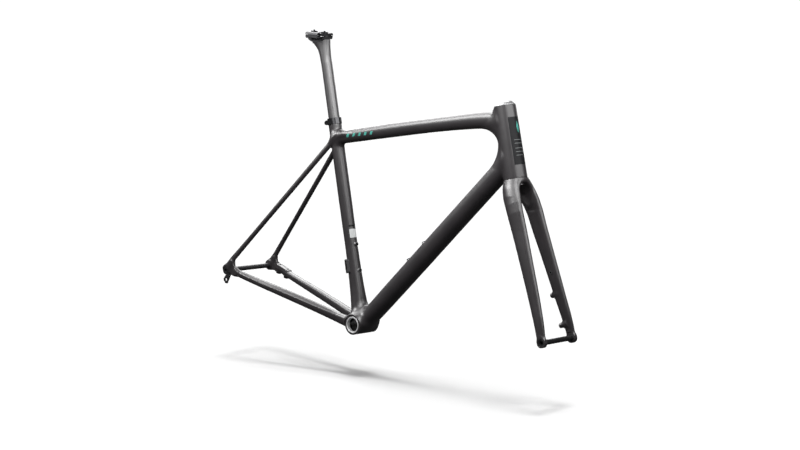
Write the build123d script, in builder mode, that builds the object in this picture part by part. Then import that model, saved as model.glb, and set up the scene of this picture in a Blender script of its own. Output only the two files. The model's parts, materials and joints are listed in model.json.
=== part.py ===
"""Carbon road frameset: main frame, disc fork, seatpost with saddle clamp, and both thru-axles.

Origin at the centre of the bottom bracket, +X towards the front wheel, +Y to the rider's left, +Z up.
Millimetres throughout.
"""

from build123d import *
import math
import os

# ---------------------------------------------------------------- driving dimensions

chainstay_length = 410.0
wheelbase = 990.0
bb_drop = 71.0
seat_angle = 74.25
head_angle = 73.5
down_tube_angle = 47.6
stack = 570.0
reach = 388.0
head_tube_length = 165.0
rear_hub_width = 142.0
front_hub_width = 100.0
axle_radius = 6.0
running_gap = 0.05

tube_wall = 1.9

head_top_radius = 25.0
head_bottom_radius = 27.0
upper_bearing_radius = 20.9
lower_bearing_radius = 24.5
bearing_height = 6.5
bearing_depth = 8.0
steerer_top_radius = 14.3
steerer_bottom_radius = 17.45
steerer_wall = 2.6
seal_height = 1.0
cover_height = 7.5
top_cap_height = 2.2

bb_width = 68.0
bb_shell_radius = 24.0
bb_insert_radius = 20.0
bb_thread_radius = 16.95
bb_insert_depth = 15.0

post_radius = 13.6
seat_tube_radius = 15.6
seat_tube_foot_radius = 19.0
seat_tube_top = 503.0
collar_height = 15.0
collar_inner_radius = 15.0
collar_outer_radius = 17.3
post_bottom = 314.0

bottle_spacing = 64.0
seat_tube_boss = 128.3
down_tube_boss = 219.0

leg_start = 58.0
dropout_thickness = 8.0
fork_tip_thickness = 9.5
rear_brake_spacing = 34.0
front_brake_spacing = 70.0
rail_spacing = 44.0
rail_radius = 3.55

# ---------------------------------------------------------------- directions, points and planes


def in_frame_plane(angle, sign=1):
    """Unit vector in the frame's middle plane, at an angle above the ground."""
    return Vector(sign * math.cos(math.radians(angle)), 0, math.sin(math.radians(angle)))


left = Vector(0, 1, 0)
seat_up = in_frame_plane(seat_angle, -1)
seat_front = Vector(seat_up.Z, 0, -seat_up.X)
steer_up = in_frame_plane(head_angle, -1)
steer_front = Vector(steer_up.Z, 0, -steer_up.X)
down_up = in_frame_plane(down_tube_angle)
down_top_side = Vector(-down_up.Z, 0, down_up.X)
down_tube_foot = Vector(5.9, 0, 0)

head_top = Vector(reach, 0, stack)
rear_axle_x = -math.sqrt(chainstay_length**2 - bb_drop**2)
front_axle_x = rear_axle_x + wheelbase
rear_axle = Vector(rear_axle_x, 0, bb_drop)
front_axle = Vector(front_axle_x, 0, bb_drop)
steer_axis = Axis(head_top, steer_up)
crown_top = head_tube_length + seal_height


def steer_point(below, fore=0.0, side=0.0):
    """Point measured down the steering axis from the head tube's top, then forwards and to the left."""
    return head_top - steer_up * below + steer_front * fore + left * side


def steer_plane(below, fore=0.0, side=0.0):
    """Plane square to the steering axis, facing up it."""
    return Plane(origin=steer_point(below, fore, side), x_dir=left, z_dir=steer_up)


def seat_plane(height):
    """Plane square to the seat axis, facing up it."""
    return Plane(origin=seat_up * height, x_dir=left, z_dir=seat_up)


def side_plane(y, facing=1):
    """Plane square to Y, facing left (1) or right (-1), centred on the bottom bracket, with +Z up in it."""
    return Plane(origin=(0, y, 0), x_dir=(-facing, 0, 0), z_dir=(0, facing, 0))


def axle_plane(axle, y, facing=1):
    return Plane(origin=(axle.X, y, axle.Z), x_dir=(-facing, 0, 0), z_dir=(0, facing, 0))


def section_plane(point, direction):
    """Plane across a tube, its local x horizontal."""
    side = direction.cross(Vector(0, 0, 1)).normalized()
    return Plane(origin=point, x_dir=side, z_dir=direction)


def tube(stations, wall=0.0):
    """Loft through elliptical stations: point, direction, half width and half depth, less a wall."""
    with BuildPart() as body:
        for point, direction, half_width, half_depth in stations:
            with BuildSketch(section_plane(point, direction)):
                if half_width == half_depth:
                    Circle(half_width - wall)
                else:
                    Ellipse(half_width - wall, half_depth - wall)
        loft()
    return body.part


def rod(plane, radius, length, inner_radius=0.0):
    """Round bar or sleeve that stands on a plane."""
    with BuildPart() as body:
        with BuildSketch(plane):
            Circle(radius)
            if inner_radius:
                Circle(inner_radius, mode=Mode.SUBTRACT)
        extrude(amount=length)
    return body.part


def turned(profile):
    """Ring turned about the steering axis from (radius, height above the head tube's top) points."""
    with BuildPart() as body:
        with BuildSketch(Plane(origin=head_top, x_dir=steer_front, z_dir=-left)):
            with BuildLine():
                Polyline(*profile, close=True)
            make_face()
        revolve(axis=steer_axis)
    return body.part


def mirrored(point, side):
    """The point, or its mirror image in the frame's middle plane, for side 1 (left) or -1 (right)."""
    return Vector(point.X, side * point.Y, point.Z)


# ---------------------------------------------------------------- main frame's outer shapes

head_shape = turned(
    [(0, 0), (head_top_radius, 0), (head_bottom_radius, -head_tube_length), (0, -head_tube_length)]
)
bb_shape = rod(side_plane(-bb_width / 2), bb_shell_radius, bb_width)

seat_stations = [
    (seat_up * 0, seat_up, seat_tube_foot_radius + 6, seat_tube_foot_radius - 1),
    (seat_up * 60, seat_up, seat_tube_foot_radius, seat_tube_foot_radius - 1),
    (seat_up * 130, seat_up, seat_tube_radius + 0.4, seat_tube_radius + 0.2),
    (seat_up * 300, seat_up, seat_tube_radius, seat_tube_radius),
    (seat_up * (seat_tube_top - collar_height), seat_up, seat_tube_radius, seat_tube_radius),
]
seat_shape = tube(seat_stations)

down_stations = [
    (down_tube_foot, down_up, 29.0, 18.5),
    (down_tube_foot + down_up * 70, down_up, 24.5, 22.0),
    (down_tube_foot + down_up * 160, down_up, 23.0, 23.0),
    (down_tube_foot + down_up * 520, down_up, 23.0, 23.0),
    (down_tube_foot + down_up * 617, down_up, 23.5, 23.5),
]
down_shape = tube(down_stations)

top_rear = Vector(-123, 0, 437)
top_front = steer_point(31)
top_direction = (top_front - top_rear).normalized()
top_up = Vector(-top_direction.Z, 0, top_direction.X)
top_length = (top_front - top_rear).length
top_stations = [
    (top_rear + top_up * 0.5, top_direction, 15.6, 16.0),
    (top_rear + top_direction * top_length * 0.35 + top_up * 5.3, top_direction, 15.8, 17.8),
    (top_rear + top_direction * top_length * 0.7 + top_up * 6.8, top_direction, 16.0, 18.3),
    (top_rear + top_direction * top_length * 0.86 + top_up * 5.7, top_direction, 17.5, 20.2),
    (top_front + top_up * 1.2, top_direction, 20.0, 22.0),
]
top_shape = tube(top_stations)

# ---------------------------------------------------------------- stays and dropouts

chainstay_front = Vector(-6, 24, 0)
chainstay_bend = Vector(-58, 26.5, 7)
chainstay_rear = Vector(-374, 74.8, 70.5)
seatstay_top = Vector(-114.5, 11.5, 441.4)
seatstay_rear = Vector(-387, 75, 99)
chainstay_run = (chainstay_rear - chainstay_bend).normalized()
seatstay_run = (seatstay_rear - seatstay_top).normalized()
seatstay_length = (seatstay_rear - seatstay_top).length


def chainstay_stations(side):
    run = mirrored(chainstay_run, side)
    bend = mirrored(chainstay_bend, side)
    length = (chainstay_rear - chainstay_bend).length
    return [
        (mirrored(chainstay_front, side), Vector(-1, 0, 0.05).normalized(), 8.5, 14.0),
        (bend, run, 9.0, 12.0),
        (bend + run * length * 0.45, run, 8.8, 10.8),
        (bend + run * length * 0.85, run, 8.0, 8.8),
        (mirrored(chainstay_rear, side), run, 4.0, 8.5),
    ]


def seatstay_stations(side):
    run = mirrored(seatstay_run, side)
    top = mirrored(seatstay_top, side)
    return [
        (top, run, 5.8, 6.6),
        (top + run * seatstay_length * 0.5, run, 5.6, 6.0),
        (top + run * seatstay_length * 0.92, run, 5.4, 6.2),
        (mirrored(seatstay_rear, side), run, 4.0, 7.0),
    ]


def dropout_shape(side):
    """Flat plate that joins the axle eye to the ends of both stays."""
    with BuildPart() as body:
        with BuildSketch(side_plane(side * rear_hub_width / 2, side)):
            with Locations((-side * rear_axle.X, rear_axle.Z)):
                Circle(12.5)
            with Locations((-side * (chainstay_rear.X + 1), chainstay_rear.Z)):
                Circle(8.6)
            with Locations((-side * seatstay_rear.X, seatstay_rear.Z)):
                Circle(7.2)
            make_hull()
        extrude(amount=dropout_thickness)
    return body.part


dropout_shapes = {side: dropout_shape(side) for side in (-1, 1)}

# ---------------------------------------------------------------- main frame

with BuildPart() as head_tube:
    add(head_shape)
    add(
        turned(
            [
                (0, 1),
                (upper_bearing_radius, 1),
                (upper_bearing_radius, -bearing_depth),
                (19.0, -bearing_depth - 2),
                (19.5, -80),
                (22.0, -head_tube_length + bearing_depth + 3),
                (lower_bearing_radius, -head_tube_length + bearing_depth),
                (lower_bearing_radius, -head_tube_length - 1),
                (0, -head_tube_length - 1),
            ]
        ),
        mode=Mode.SUBTRACT,
    )

with BuildPart() as bottom_bracket_shell:
    add(bb_shape)
    with Locations(side_plane(0)):
        Cylinder(bb_insert_radius, bb_width, mode=Mode.SUBTRACT)

collar_seat = rod(seat_plane(seat_tube_top - collar_height), collar_inner_radius, collar_height)
seat_bore = rod(seat_plane(30), post_radius + running_gap, seat_tube_top)

with BuildPart() as top_tube:
    add(top_shape)
    add(tube(top_stations, tube_wall), mode=Mode.SUBTRACT)
    for neighbour in (seat_shape, head_shape):
        add(neighbour, mode=Mode.SUBTRACT)

chainstay_wall = 2.2
seatstay_wall = 1.6


def chainstay(side):
    stations = chainstay_stations(side)
    with BuildPart() as body:
        add(tube(stations))
        add(tube(stations[:4], chainstay_wall), mode=Mode.SUBTRACT)
        for neighbour in (bb_shape, seat_shape, down_shape, dropout_shapes[side]):
            add(neighbour, mode=Mode.SUBTRACT)
    return body.part


# The flat brake mount on the left chainstay: two pads above and two bolt bosses below.
brake_up = Vector(0, 0, 1) - chainstay_run * chainstay_run.Z
brake_up = brake_up.normalized()
brake_middle = chainstay_rear - chainstay_run * 25
rear_brake_holes = [brake_middle + chainstay_run * (rear_brake_spacing * half) for half in (0.5, -0.5)]
boss_radius = 6.2
pad_top = 11.0
boss_bottom = -13.0
sleeve_radius = 4.2
brake_bolt_clearance = 2.75


def brake_plane(point, height):
    return Plane(origin=point + brake_up * height, x_dir=chainstay_run, z_dir=brake_up)


with BuildPart() as right_chainstay:
    add(chainstay(-1))

hose_port_radius = 4.0
chainstay_port = chainstay_rear - chainstay_run * 118
chainstay_inward = chainstay_run.cross(brake_up).normalized()
if chainstay_inward.Y > 0:
    chainstay_inward = -chainstay_inward
chainstay_port_plane = Plane(origin=chainstay_port + chainstay_inward * 4, z_dir=chainstay_inward)

with BuildPart() as left_chainstay:
    add(chainstay(1))
    for point in rear_brake_holes:
        add(rod(brake_plane(point, boss_bottom), boss_radius, -boss_bottom))
        with BuildSketch(brake_plane(point, 0)):
            RectangleRounded(12.5, 15, 3)
        extrude(amount=pad_top)
    add(dropout_shapes[1], mode=Mode.SUBTRACT)
    for point in rear_brake_holes:
        add(rod(brake_plane(point, boss_bottom), sleeve_radius, pad_top - boss_bottom), mode=Mode.SUBTRACT)
    add(rod(chainstay_port_plane, hose_port_radius, 8), mode=Mode.SUBTRACT)

with BuildPart() as rear_brake_sleeves:
    for point in rear_brake_holes:
        add(
            rod(
                brake_plane(point, boss_bottom),
                sleeve_radius,
                pad_top - boss_bottom,
                brake_bolt_clearance,
            )
        )


def seatstay(side):
    stations = seatstay_stations(side)
    with BuildPart() as body:
        add(tube(stations))
        add(tube(stations[:3], seatstay_wall), mode=Mode.SUBTRACT)
        for neighbour in (seat_shape, top_shape, dropout_shapes[side]):
            add(neighbour, mode=Mode.SUBTRACT)
    return body.part.solids().sort_by(SortBy.VOLUME)[-1]


with BuildPart() as right_seatstay:
    add(seatstay(-1))

with BuildPart() as left_seatstay:
    add(seatstay(1))

# ---------------------------------------------------------------- dropouts, hanger and rear axle

hanger_outer = -(rear_hub_width / 2 + dropout_thickness + 0.5)
hanger_thickness = 5.0
hanger_hole = Vector(-402.5, hanger_outer, 47.0)
hanger_screw = Vector(-391.0, hanger_outer, 66.0)
axle_nut_radius = 8.0
axle_head_radius = 9.0

hanger_plane = side_plane(hanger_outer, 1)


def in_hanger_plane(point):
    return (-point.X, point.Z)


with BuildPart() as hanger_blank:
    with BuildSketch(hanger_plane):
        with Locations(in_hanger_plane(rear_axle)):
            Circle(9.6)
        with Locations(in_hanger_plane(hanger_screw)):
            Circle(4.6)
        make_hull()
    extrude(amount=hanger_thickness)
    with BuildSketch(hanger_plane):
        with Locations(in_hanger_plane(hanger_screw)):
            Circle(4.6)
        with Locations(in_hanger_plane(hanger_hole)):
            Circle(7.4)
        make_hull()
    extrude(amount=hanger_thickness)
    with BuildSketch(hanger_plane):
        with Locations(in_hanger_plane(hanger_hole + Vector(1.5, 0, -7.5))):
            RectangleRounded(7, 4, 1)
    extrude(amount=hanger_thickness)
    with BuildSketch(hanger_plane):
        with Locations(in_hanger_plane(hanger_hole + Vector(-10.0, 0, 12.5))):
            Circle(7.5)
    extrude(amount=hanger_thickness, mode=Mode.SUBTRACT)
hanger_shape = hanger_blank.part
hanger_screw_hole = rod(axle_plane(hanger_screw, hanger_outer), 1.5, 11)
nut_hole = rod(axle_plane(rear_axle, hanger_outer - 1), axle_nut_radius, 12)

with BuildPart() as derailleur_hanger:
    add(hanger_shape)
    add(rod(axle_plane(hanger_hole, hanger_outer - 1), 4.5, 9), mode=Mode.SUBTRACT)
    add(nut_hole, mode=Mode.SUBTRACT)
    add(hanger_screw_hole, mode=Mode.SUBTRACT)

with BuildPart() as hanger_bolt:
    add(rod(axle_plane(hanger_screw, hanger_outer - 1.4), 2.7, 1.4))
    add(rod(axle_plane(hanger_screw, hanger_outer), 1.5, 7.5))
    with BuildSketch(axle_plane(hanger_screw, hanger_outer - 1.4)):
        RegularPolygon(1.2, 6)
    extrude(amount=2, mode=Mode.SUBTRACT)

with BuildPart() as right_dropout:
    add(dropout_shapes[-1])
    add(hanger_shape, mode=Mode.SUBTRACT)
    add(nut_hole, mode=Mode.SUBTRACT)
    add(hanger_screw_hole, mode=Mode.SUBTRACT)

head_recess = 3.5
left_outer = rear_hub_width / 2 + dropout_thickness

with BuildPart() as left_dropout:
    add(dropout_shapes[1])
    for point in rear_brake_holes:
        add(rod(brake_plane(point, boss_bottom), sleeve_radius, pad_top - boss_bottom), mode=Mode.SUBTRACT)
    add(rod(axle_plane(rear_axle, rear_hub_width / 2 - 1), axle_radius, 12), mode=Mode.SUBTRACT)
    add(
        rod(axle_plane(rear_axle, left_outer - head_recess), axle_head_radius + 0.3, 6),
        mode=Mode.SUBTRACT,
    )

with BuildPart() as rear_axle_nut:
    add(rod(axle_plane(rear_axle, hanger_outer - 1), axle_nut_radius, -hanger_outer + 1 - rear_hub_width / 2))
    add(rod(axle_plane(rear_axle, hanger_outer + 1), axle_radius, 12), mode=Mode.SUBTRACT)
    with BuildSketch(axle_plane(rear_axle, hanger_outer - 1)):
        Circle(4.5)
    extrude(amount=3, mode=Mode.SUBTRACT)


def thru_axle(axle, shaft_start, seat, head_radius):
    """Axle from its threaded right end to the socket head on the left, whose flange sits at seat."""
    with BuildPart() as body:
        add(rod(axle_plane(axle, shaft_start), axle_radius - running_gap, seat - shaft_start))
        add(rod(axle_plane(axle, seat), head_radius, 4.5))
        with BuildSketch(axle_plane(axle, seat + 4.5, 1)):
            RegularPolygon(3, 6, major_radius=False)
        extrude(amount=-6, mode=Mode.SUBTRACT)
        with BuildSketch(axle_plane(axle, shaft_start)):
            Circle(3.5)
        extrude(amount=seat - shaft_start - 6, mode=Mode.SUBTRACT)
        chamfer(body.edges().group_by(Axis.Y)[-1].filter_by(GeomType.CIRCLE), 0.8)
    return body.part


with BuildPart() as rear_thru_axle:
    add(thru_axle(rear_axle, hanger_outer + 1.5, left_outer - head_recess + 0.3, axle_head_radius))

# ---------------------------------------------------------------- bottom bracket inserts


def bb_insert(side):
    with BuildPart() as body:
        with BuildSketch(side_plane(side * (bb_width / 2 - bb_insert_depth), side)):
            Circle(bb_insert_radius)
            Circle(bb_thread_radius, mode=Mode.SUBTRACT)
        extrude(amount=bb_insert_depth + 0.4)
        outer_rim = body.edges().filter_by(GeomType.CIRCLE).sort_by(Axis.Y)
        chamfer(outer_rim[:2] if side < 0 else outer_rim[-2:], 0.35)
    return body.part


with BuildPart() as right_bottom_bracket_insert:
    add(bb_insert(-1))

with BuildPart() as left_bottom_bracket_insert:
    add(bb_insert(1))

# ---------------------------------------------------------------- seat collar

collar_bottom = seat_tube_top - collar_height
collar_lug_back = 21.5
collar_lug_height = collar_bottom + collar_height * 0.47
lug_radius = 5.6
lug_half_width = 8.5
split_half_width = 1.3
lug_centre = seat_up * collar_lug_height - seat_front * collar_lug_back


def lug_plane(y):
    return Plane(origin=lug_centre + left * y, x_dir=seat_up, z_dir=left)


with BuildPart() as seat_collar:
    add(rod(seat_plane(collar_bottom), collar_outer_radius, collar_height))
    add(rod(lug_plane(-lug_half_width), lug_radius, 2 * lug_half_width))
    with BuildSketch(lug_plane(-lug_half_width)):
        with Locations((0, 3.5)):
            Rectangle(2 * lug_radius, 7)
    extrude(amount=2 * lug_half_width)
    add(rod(seat_plane(collar_bottom - 1), collar_inner_radius, collar_height + 2), mode=Mode.SUBTRACT)
    with BuildSketch(Plane(origin=lug_centre - left * split_half_width, x_dir=seat_up, z_dir=left)):
        Rectangle(3 * collar_height, 2 * collar_lug_back - 6)
    extrude(amount=2 * split_half_width, mode=Mode.SUBTRACT)
    # shallow window along each side of the band
    with BuildSketch(seat_plane(collar_bottom + 6.5)):
        Circle(collar_outer_radius + 1)
        Circle(collar_outer_radius - 0.9, mode=Mode.SUBTRACT)
        with Locations((0, collar_outer_radius - 2)):
            Rectangle(60, 2 * collar_outer_radius + 2, mode=Mode.INTERSECT)
    extrude(amount=5.5, mode=Mode.SUBTRACT)
    # bolt and nut pockets through the lugs
    add(rod(lug_plane(-lug_half_width - 1), 2.5, 2 * lug_half_width + 2), mode=Mode.SUBTRACT)
    add(rod(lug_plane(-lug_half_width - 1), 4.0, 5), mode=Mode.SUBTRACT)
    add(rod(lug_plane(lug_half_width - 4), 3.6, 5), mode=Mode.SUBTRACT)

with BuildPart() as seat_collar_bolt:
    add(rod(lug_plane(-lug_half_width), 4.0, 4))
    add(rod(lug_plane(-lug_half_width + 4), 2.5, 2 * lug_half_width - 4.6))
    with BuildSketch(lug_plane(-lug_half_width)):
        RegularPolygon(2, 6, major_radius=False)
    extrude(amount=2.6, mode=Mode.SUBTRACT)

with BuildPart() as seat_collar_nut:
    add(rod(lug_plane(lug_half_width - 4), 3.6, 4, 2.5))

# ---------------------------------------------------------------- bottle bosses

nut_sleeve_radius = 3.5
nut_flange_radius = 5.6
nut_flange_height = 1.3
bolt_shank_radius = 2.5
bolt_head_radius = 4.3
bolt_head_height = 3.0


def boss_plane(centre, outward, height):
    return Plane(origin=centre + outward * height, x_dir=left, z_dir=outward)


bottle_bosses = []
for step in (0, bottle_spacing):
    bottle_bosses.append((seat_up * (seat_tube_boss + step), seat_front, seat_tube_radius + 0.1))
    bottle_bosses.append((down_tube_foot + down_up * (down_tube_boss + step), down_top_side, 23.0))

boss_holes = [
    rod(boss_plane(centre, outward, surface - 6), nut_sleeve_radius, 12)
    for centre, outward, surface in bottle_bosses
]
with BuildPart() as bottle_nuts:
    for centre, outward, surface in bottle_bosses:
        add(rod(boss_plane(centre, outward, surface - 4), nut_flange_radius, 4 + nut_flange_height))
    add(seat_shape, mode=Mode.SUBTRACT)
    add(down_shape, mode=Mode.SUBTRACT)
    for centre, outward, surface in bottle_bosses:
        reach_in = 8.0 if surface > 20 else 1.8
        add(rod(boss_plane(centre, outward, surface - reach_in), nut_sleeve_radius, reach_in + 0.5))
        add(
            rod(boss_plane(centre, outward, surface - reach_in - 1), bolt_shank_radius, reach_in + 4),
            mode=Mode.SUBTRACT,
        )

with BuildPart() as bottle_bolts:
    for centre, outward, surface in bottle_bosses:
        reach_in = 8.0 if surface > 20 else 1.8
        seat = surface + nut_flange_height
        shank_start = boss_plane(centre, outward, surface - reach_in)
        add(rod(shank_start, bolt_shank_radius, reach_in + nut_flange_height))
        add(rod(boss_plane(centre, outward, seat), bolt_head_radius, bolt_head_height))
        with BuildSketch(boss_plane(centre, outward, seat + bolt_head_height)):
            RegularPolygon(2, 6, major_radius=False)
        extrude(amount=-2.2, mode=Mode.SUBTRACT)

# ---------------------------------------------------------------- front derailleur mount

mount_height = 142.0
mount_length = 34.0
mount_width = 16.0
mount_outward = (seat_front * -0.5 - left * 0.866).normalized()


def mount_plane(height, outward):
    return Plane(origin=seat_up * height + mount_outward * outward, x_dir=seat_up, z_dir=mount_outward)


mount_face = 20.5
mount_screw_heights = [mount_height + offset for offset in (-12.5, 12.5)]

with BuildPart() as front_derailleur_mount:
    with BuildSketch(mount_plane(mount_height, 8)):
        RectangleRounded(mount_length, mount_width, 3.5)
    extrude(amount=mount_face - 8)
    add(seat_shape, mode=Mode.SUBTRACT)
    with BuildSketch(mount_plane(mount_height, mount_face)):
        SlotOverall(13, 5.4)
    extrude(amount=-3.2, mode=Mode.SUBTRACT)
    for height in mount_screw_heights:
        add(rod(mount_plane(height, 8), 1.5, 20), mode=Mode.SUBTRACT)

with BuildPart() as front_derailleur_mount_screws:
    for height in mount_screw_heights:
        add(rod(mount_plane(height, post_radius + 0.6), 1.5, mount_face - post_radius - 0.6))
        add(rod(mount_plane(height, mount_face), 2.8, 1.4))

mount_screw_holes = [rod(mount_plane(height, 10), 1.5, 20) for height in mount_screw_heights]
relief_hole = rod(
    Plane(origin=seat_up * (collar_bottom - 2), x_dir=seat_up, z_dir=-left), 2.4, seat_tube_radius + 5
)

with BuildPart() as seat_tube:
    add(seat_shape)
    add(collar_seat)
    add(bb_shape, mode=Mode.SUBTRACT)
    add(seat_bore, mode=Mode.SUBTRACT)
    add(relief_hole, mode=Mode.SUBTRACT)
    for hole in boss_holes + mount_screw_holes:
        add(hole, mode=Mode.SUBTRACT)

# ---------------------------------------------------------------- down tube with its hose port

down_port_centre = down_tube_foot + down_up * 540
down_port_plane = Plane(origin=down_port_centre + left * 15, x_dir=down_up, z_dir=left)

with BuildPart() as down_tube:
    add(down_shape)
    add(tube(down_stations, tube_wall), mode=Mode.SUBTRACT)
    for neighbour in (bb_shape, seat_shape, head_shape):
        add(neighbour, mode=Mode.SUBTRACT)
    for hole in boss_holes:
        add(hole, mode=Mode.SUBTRACT)
    add(rod(down_port_plane, hose_port_radius, 12), mode=Mode.SUBTRACT)


def grommet(plane, inner, outer, lip):
    """Rubber hose grommet: a sleeve through the wall with a rounded lip outside, around a hose bore."""
    with BuildPart() as body:
        add(rod(Plane(origin=plane.origin + plane.z_dir * inner, x_dir=plane.x_dir, z_dir=plane.z_dir),
                hose_port_radius, outer - inner, 2.6))
        add(rod(Plane(origin=plane.origin + plane.z_dir * outer, x_dir=plane.x_dir, z_dir=plane.z_dir),
                hose_port_radius, lip, 2.6))
    return body.part


with BuildPart() as down_tube_hose_grommet:
    add(grommet(down_port_plane, 5.5, 8.6, 0.8))

with BuildPart() as chainstay_hose_grommet:
    add(grommet(chainstay_port_plane, 1.0, 5.4, 0.6))

# ---------------------------------------------------------------- headset

lower_seat = -head_tube_length + bearing_depth
ball_radius = 1.5
upper_ball_circle = 17.95
lower_ball_circle = 21.5
race_gap = 0.1


def bearing_ring(inner, outer, top):
    return turned([(inner, top), (outer, top), (outer, top - bearing_height), (inner, top - bearing_height)])


def ball_ring(circle, height, count):
    with BuildPart() as body:
        with Locations(steer_plane(-height)):
            with PolarLocations(circle, count):
                Sphere(ball_radius)
    return body.part


upper_bearing_top = -(bearing_depth - bearing_height)
lower_bearing_top = lower_seat

with BuildPart() as upper_bearing_outer_race:
    add(bearing_ring(upper_ball_circle + ball_radius + race_gap, upper_bearing_radius, upper_bearing_top))

with BuildPart() as lower_bearing_outer_race:
    add(bearing_ring(lower_ball_circle + ball_radius + race_gap, lower_bearing_radius, lower_bearing_top))

with BuildPart() as upper_bearing_inner_race:
    add(bearing_ring(15.2, upper_ball_circle - ball_radius - 0.02, upper_bearing_top))

with BuildPart() as lower_bearing_inner_race:
    add(bearing_ring(18.4, lower_ball_circle - ball_radius - 0.02, lower_bearing_top))

with BuildPart() as upper_bearing_balls:
    add(ball_ring(upper_ball_circle, upper_bearing_top - bearing_height / 2, 18))

with BuildPart() as lower_bearing_balls:
    add(ball_ring(lower_ball_circle, lower_bearing_top - bearing_height / 2, 20))

steerer_top = 5.2
cover_base = seal_height
cover_top = cover_base + cover_height - 1.4
steerer_foot = -crown_top - 15

with BuildPart() as steerer_tube:
    add(
        turned(
            [
                (steerer_top_radius - steerer_wall, steerer_top),
                (steerer_top_radius, steerer_top),
                (steerer_top_radius, -100),
                (steerer_bottom_radius, -140),
                (steerer_bottom_radius, steerer_foot),
                (steerer_bottom_radius - steerer_wall, steerer_foot),
                (steerer_bottom_radius - steerer_wall, -140),
                (steerer_top_radius - steerer_wall, -100),
            ]
        )
    )

with BuildPart() as compression_ring:
    add(
        turned(
            [
                (steerer_top_radius, 0.8),
                (17.5, 0.8),
                (17.5, 0.0),
                (15.9, upper_bearing_top),
                (15.2, upper_bearing_top),
                (15.2, upper_bearing_top - 5),
                (steerer_top_radius, upper_bearing_top - 6),
            ]
        )
    )

with BuildPart() as upper_seal:
    add(turned([(20, 0.3), (24.4, 0.3), (24.4, cover_base), (20, cover_base)]))

with BuildPart() as headset_cover:
    add(
        turned(
            [
                (17.5, cover_base),
                (24.0, cover_base),
                (24.0, cover_base + 0.8),
                (19.8, cover_top),
                (steerer_top_radius, cover_top),
                (steerer_top_radius, cover_base + 3),
                (17.5, cover_base + 1),
            ]
        )
    )

with BuildPart() as crown_race:
    add(
        turned(
            [
                (steerer_bottom_radius, lower_bearing_top - 2),
                (18.4, lower_bearing_top - 3),
                (18.4, lower_bearing_top - bearing_height),
                (19.6, lower_bearing_top - bearing_height),
                (22.6, -head_tube_length - 0.2),
                (22.6, -crown_top),
                (steerer_bottom_radius, -crown_top),
            ]
        )
    )

with BuildPart() as lower_seal:
    add(
        turned(
            [
                (22.8, -head_tube_length - 0.35),
                (26.4, -head_tube_length - 0.35),
                (26.4, -crown_top),
                (22.8, -crown_top),
            ]
        )
    )

plug_radius = steerer_top_radius - steerer_wall

with BuildPart() as expander_plug:
    add(
        turned(
            [
                (3.0, steerer_top + 1),
                (13.8, steerer_top + 1),
                (13.8, steerer_top),
                (plug_radius, steerer_top),
                (plug_radius, -30),
                (8.0, -34),
                (3.0, -34),
            ]
        )
    )

cap_top = cover_top + top_cap_height

with BuildPart() as top_cap:
    add(
        turned(
            [
                (3.1, cover_top),
                (17.6, cover_top),
                (17.6, cap_top - 0.8),
                (16.6, cap_top),
                (6.2, cap_top),
                (5.4, cap_top - 1.2),
                (3.1, cap_top - 1.2),
            ]
        )
    )

with BuildPart() as top_cap_bolt:
    add(
        turned(
            [
                (0, cap_top + 0.4),
                (4.9, cap_top + 0.4),
                (4.9, cap_top - 1.2),
                (3.0, cap_top - 1.2),
                (3.0, -30),
                (0, -30),
            ]
        )
    )
    with BuildSketch(steer_plane(-cap_top - 0.4)):
        RegularPolygon(2.5, 6, major_radius=False)
    extrude(amount=-3.5, mode=Mode.SUBTRACT)

# ---------------------------------------------------------------- fork

leg_line = [
    (leg_start, 10.0, 32.7, 11.0, 22.6),
    (120.0, 18.6, 37.0, 10.0, 20.0),
    (200.0, 29.4, 42.2, 9.2, 17.0),
    (280.0, 39.8, 47.6, 8.0, 14.2),
    (335.0, 46.0, 52.4, 6.6, 12.4),
]
front_axle_below = (head_top - front_axle).dot(steer_up)
front_axle_fore = (front_axle - head_top).dot(steer_front)
tip_middle = front_hub_width / 2 + fork_tip_thickness / 2


def leg_direction(index, side):
    """Downward direction of the leg's centre line at a station."""
    before = leg_line[max(index - 1, 0)]
    after = leg_line[min(index + 1, len(leg_line) - 1)]
    start = steer_point(before[0], before[1], side * before[2])
    end = steer_point(after[0], after[1], side * after[2])
    return (end - start).normalized()


def leg_stations(side):
    stations = []
    for index, (drop, fore, out, half_width, half_depth) in enumerate(leg_line):
        point = steer_point(head_tube_length + drop, fore, side * out)
        direction = -steer_up if index == 0 else leg_direction(index, side)
        stations.append((point, direction, half_width, half_depth))
    tip = steer_point(front_axle_below - 6, front_axle_fore - 0.8, side * tip_middle)
    stations.append((tip, leg_direction(len(leg_line) - 1, side), fork_tip_thickness / 2, 11.2))
    return stations


steerer_socket = turned([(0, -crown_top + 1), (steerer_bottom_radius, -crown_top + 1),
                         (steerer_bottom_radius, steerer_foot), (0, steerer_foot)])

arch_radius = 21.7
arch_centre = steer_point(head_tube_length + leg_start - 17, 8)

with BuildPart() as fork_crown:
    with BuildSketch(steer_plane(crown_top)):
        Circle(head_bottom_radius - 0.4)
    with BuildSketch(steer_plane(crown_top + 20, 2.5)):
        Ellipse(35.5, 25.2)
    with BuildSketch(steer_plane(head_tube_length + leg_start, leg_line[0][1])):
        Ellipse(leg_line[0][2] + leg_line[0][3], leg_line[0][4])
    loft()
    with BuildSketch(Plane(origin=arch_centre, x_dir=left, z_dir=steer_front)):
        Circle(arch_radius)
        with Locations((0, -30)):
            Rectangle(2 * arch_radius, 60)
    extrude(amount=60, both=True, mode=Mode.SUBTRACT)
    add(steerer_socket, mode=Mode.SUBTRACT)
    add(rod(steer_plane(crown_top + 60), 10.0, 60), mode=Mode.SUBTRACT)

leg_wall = 2.4


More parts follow.
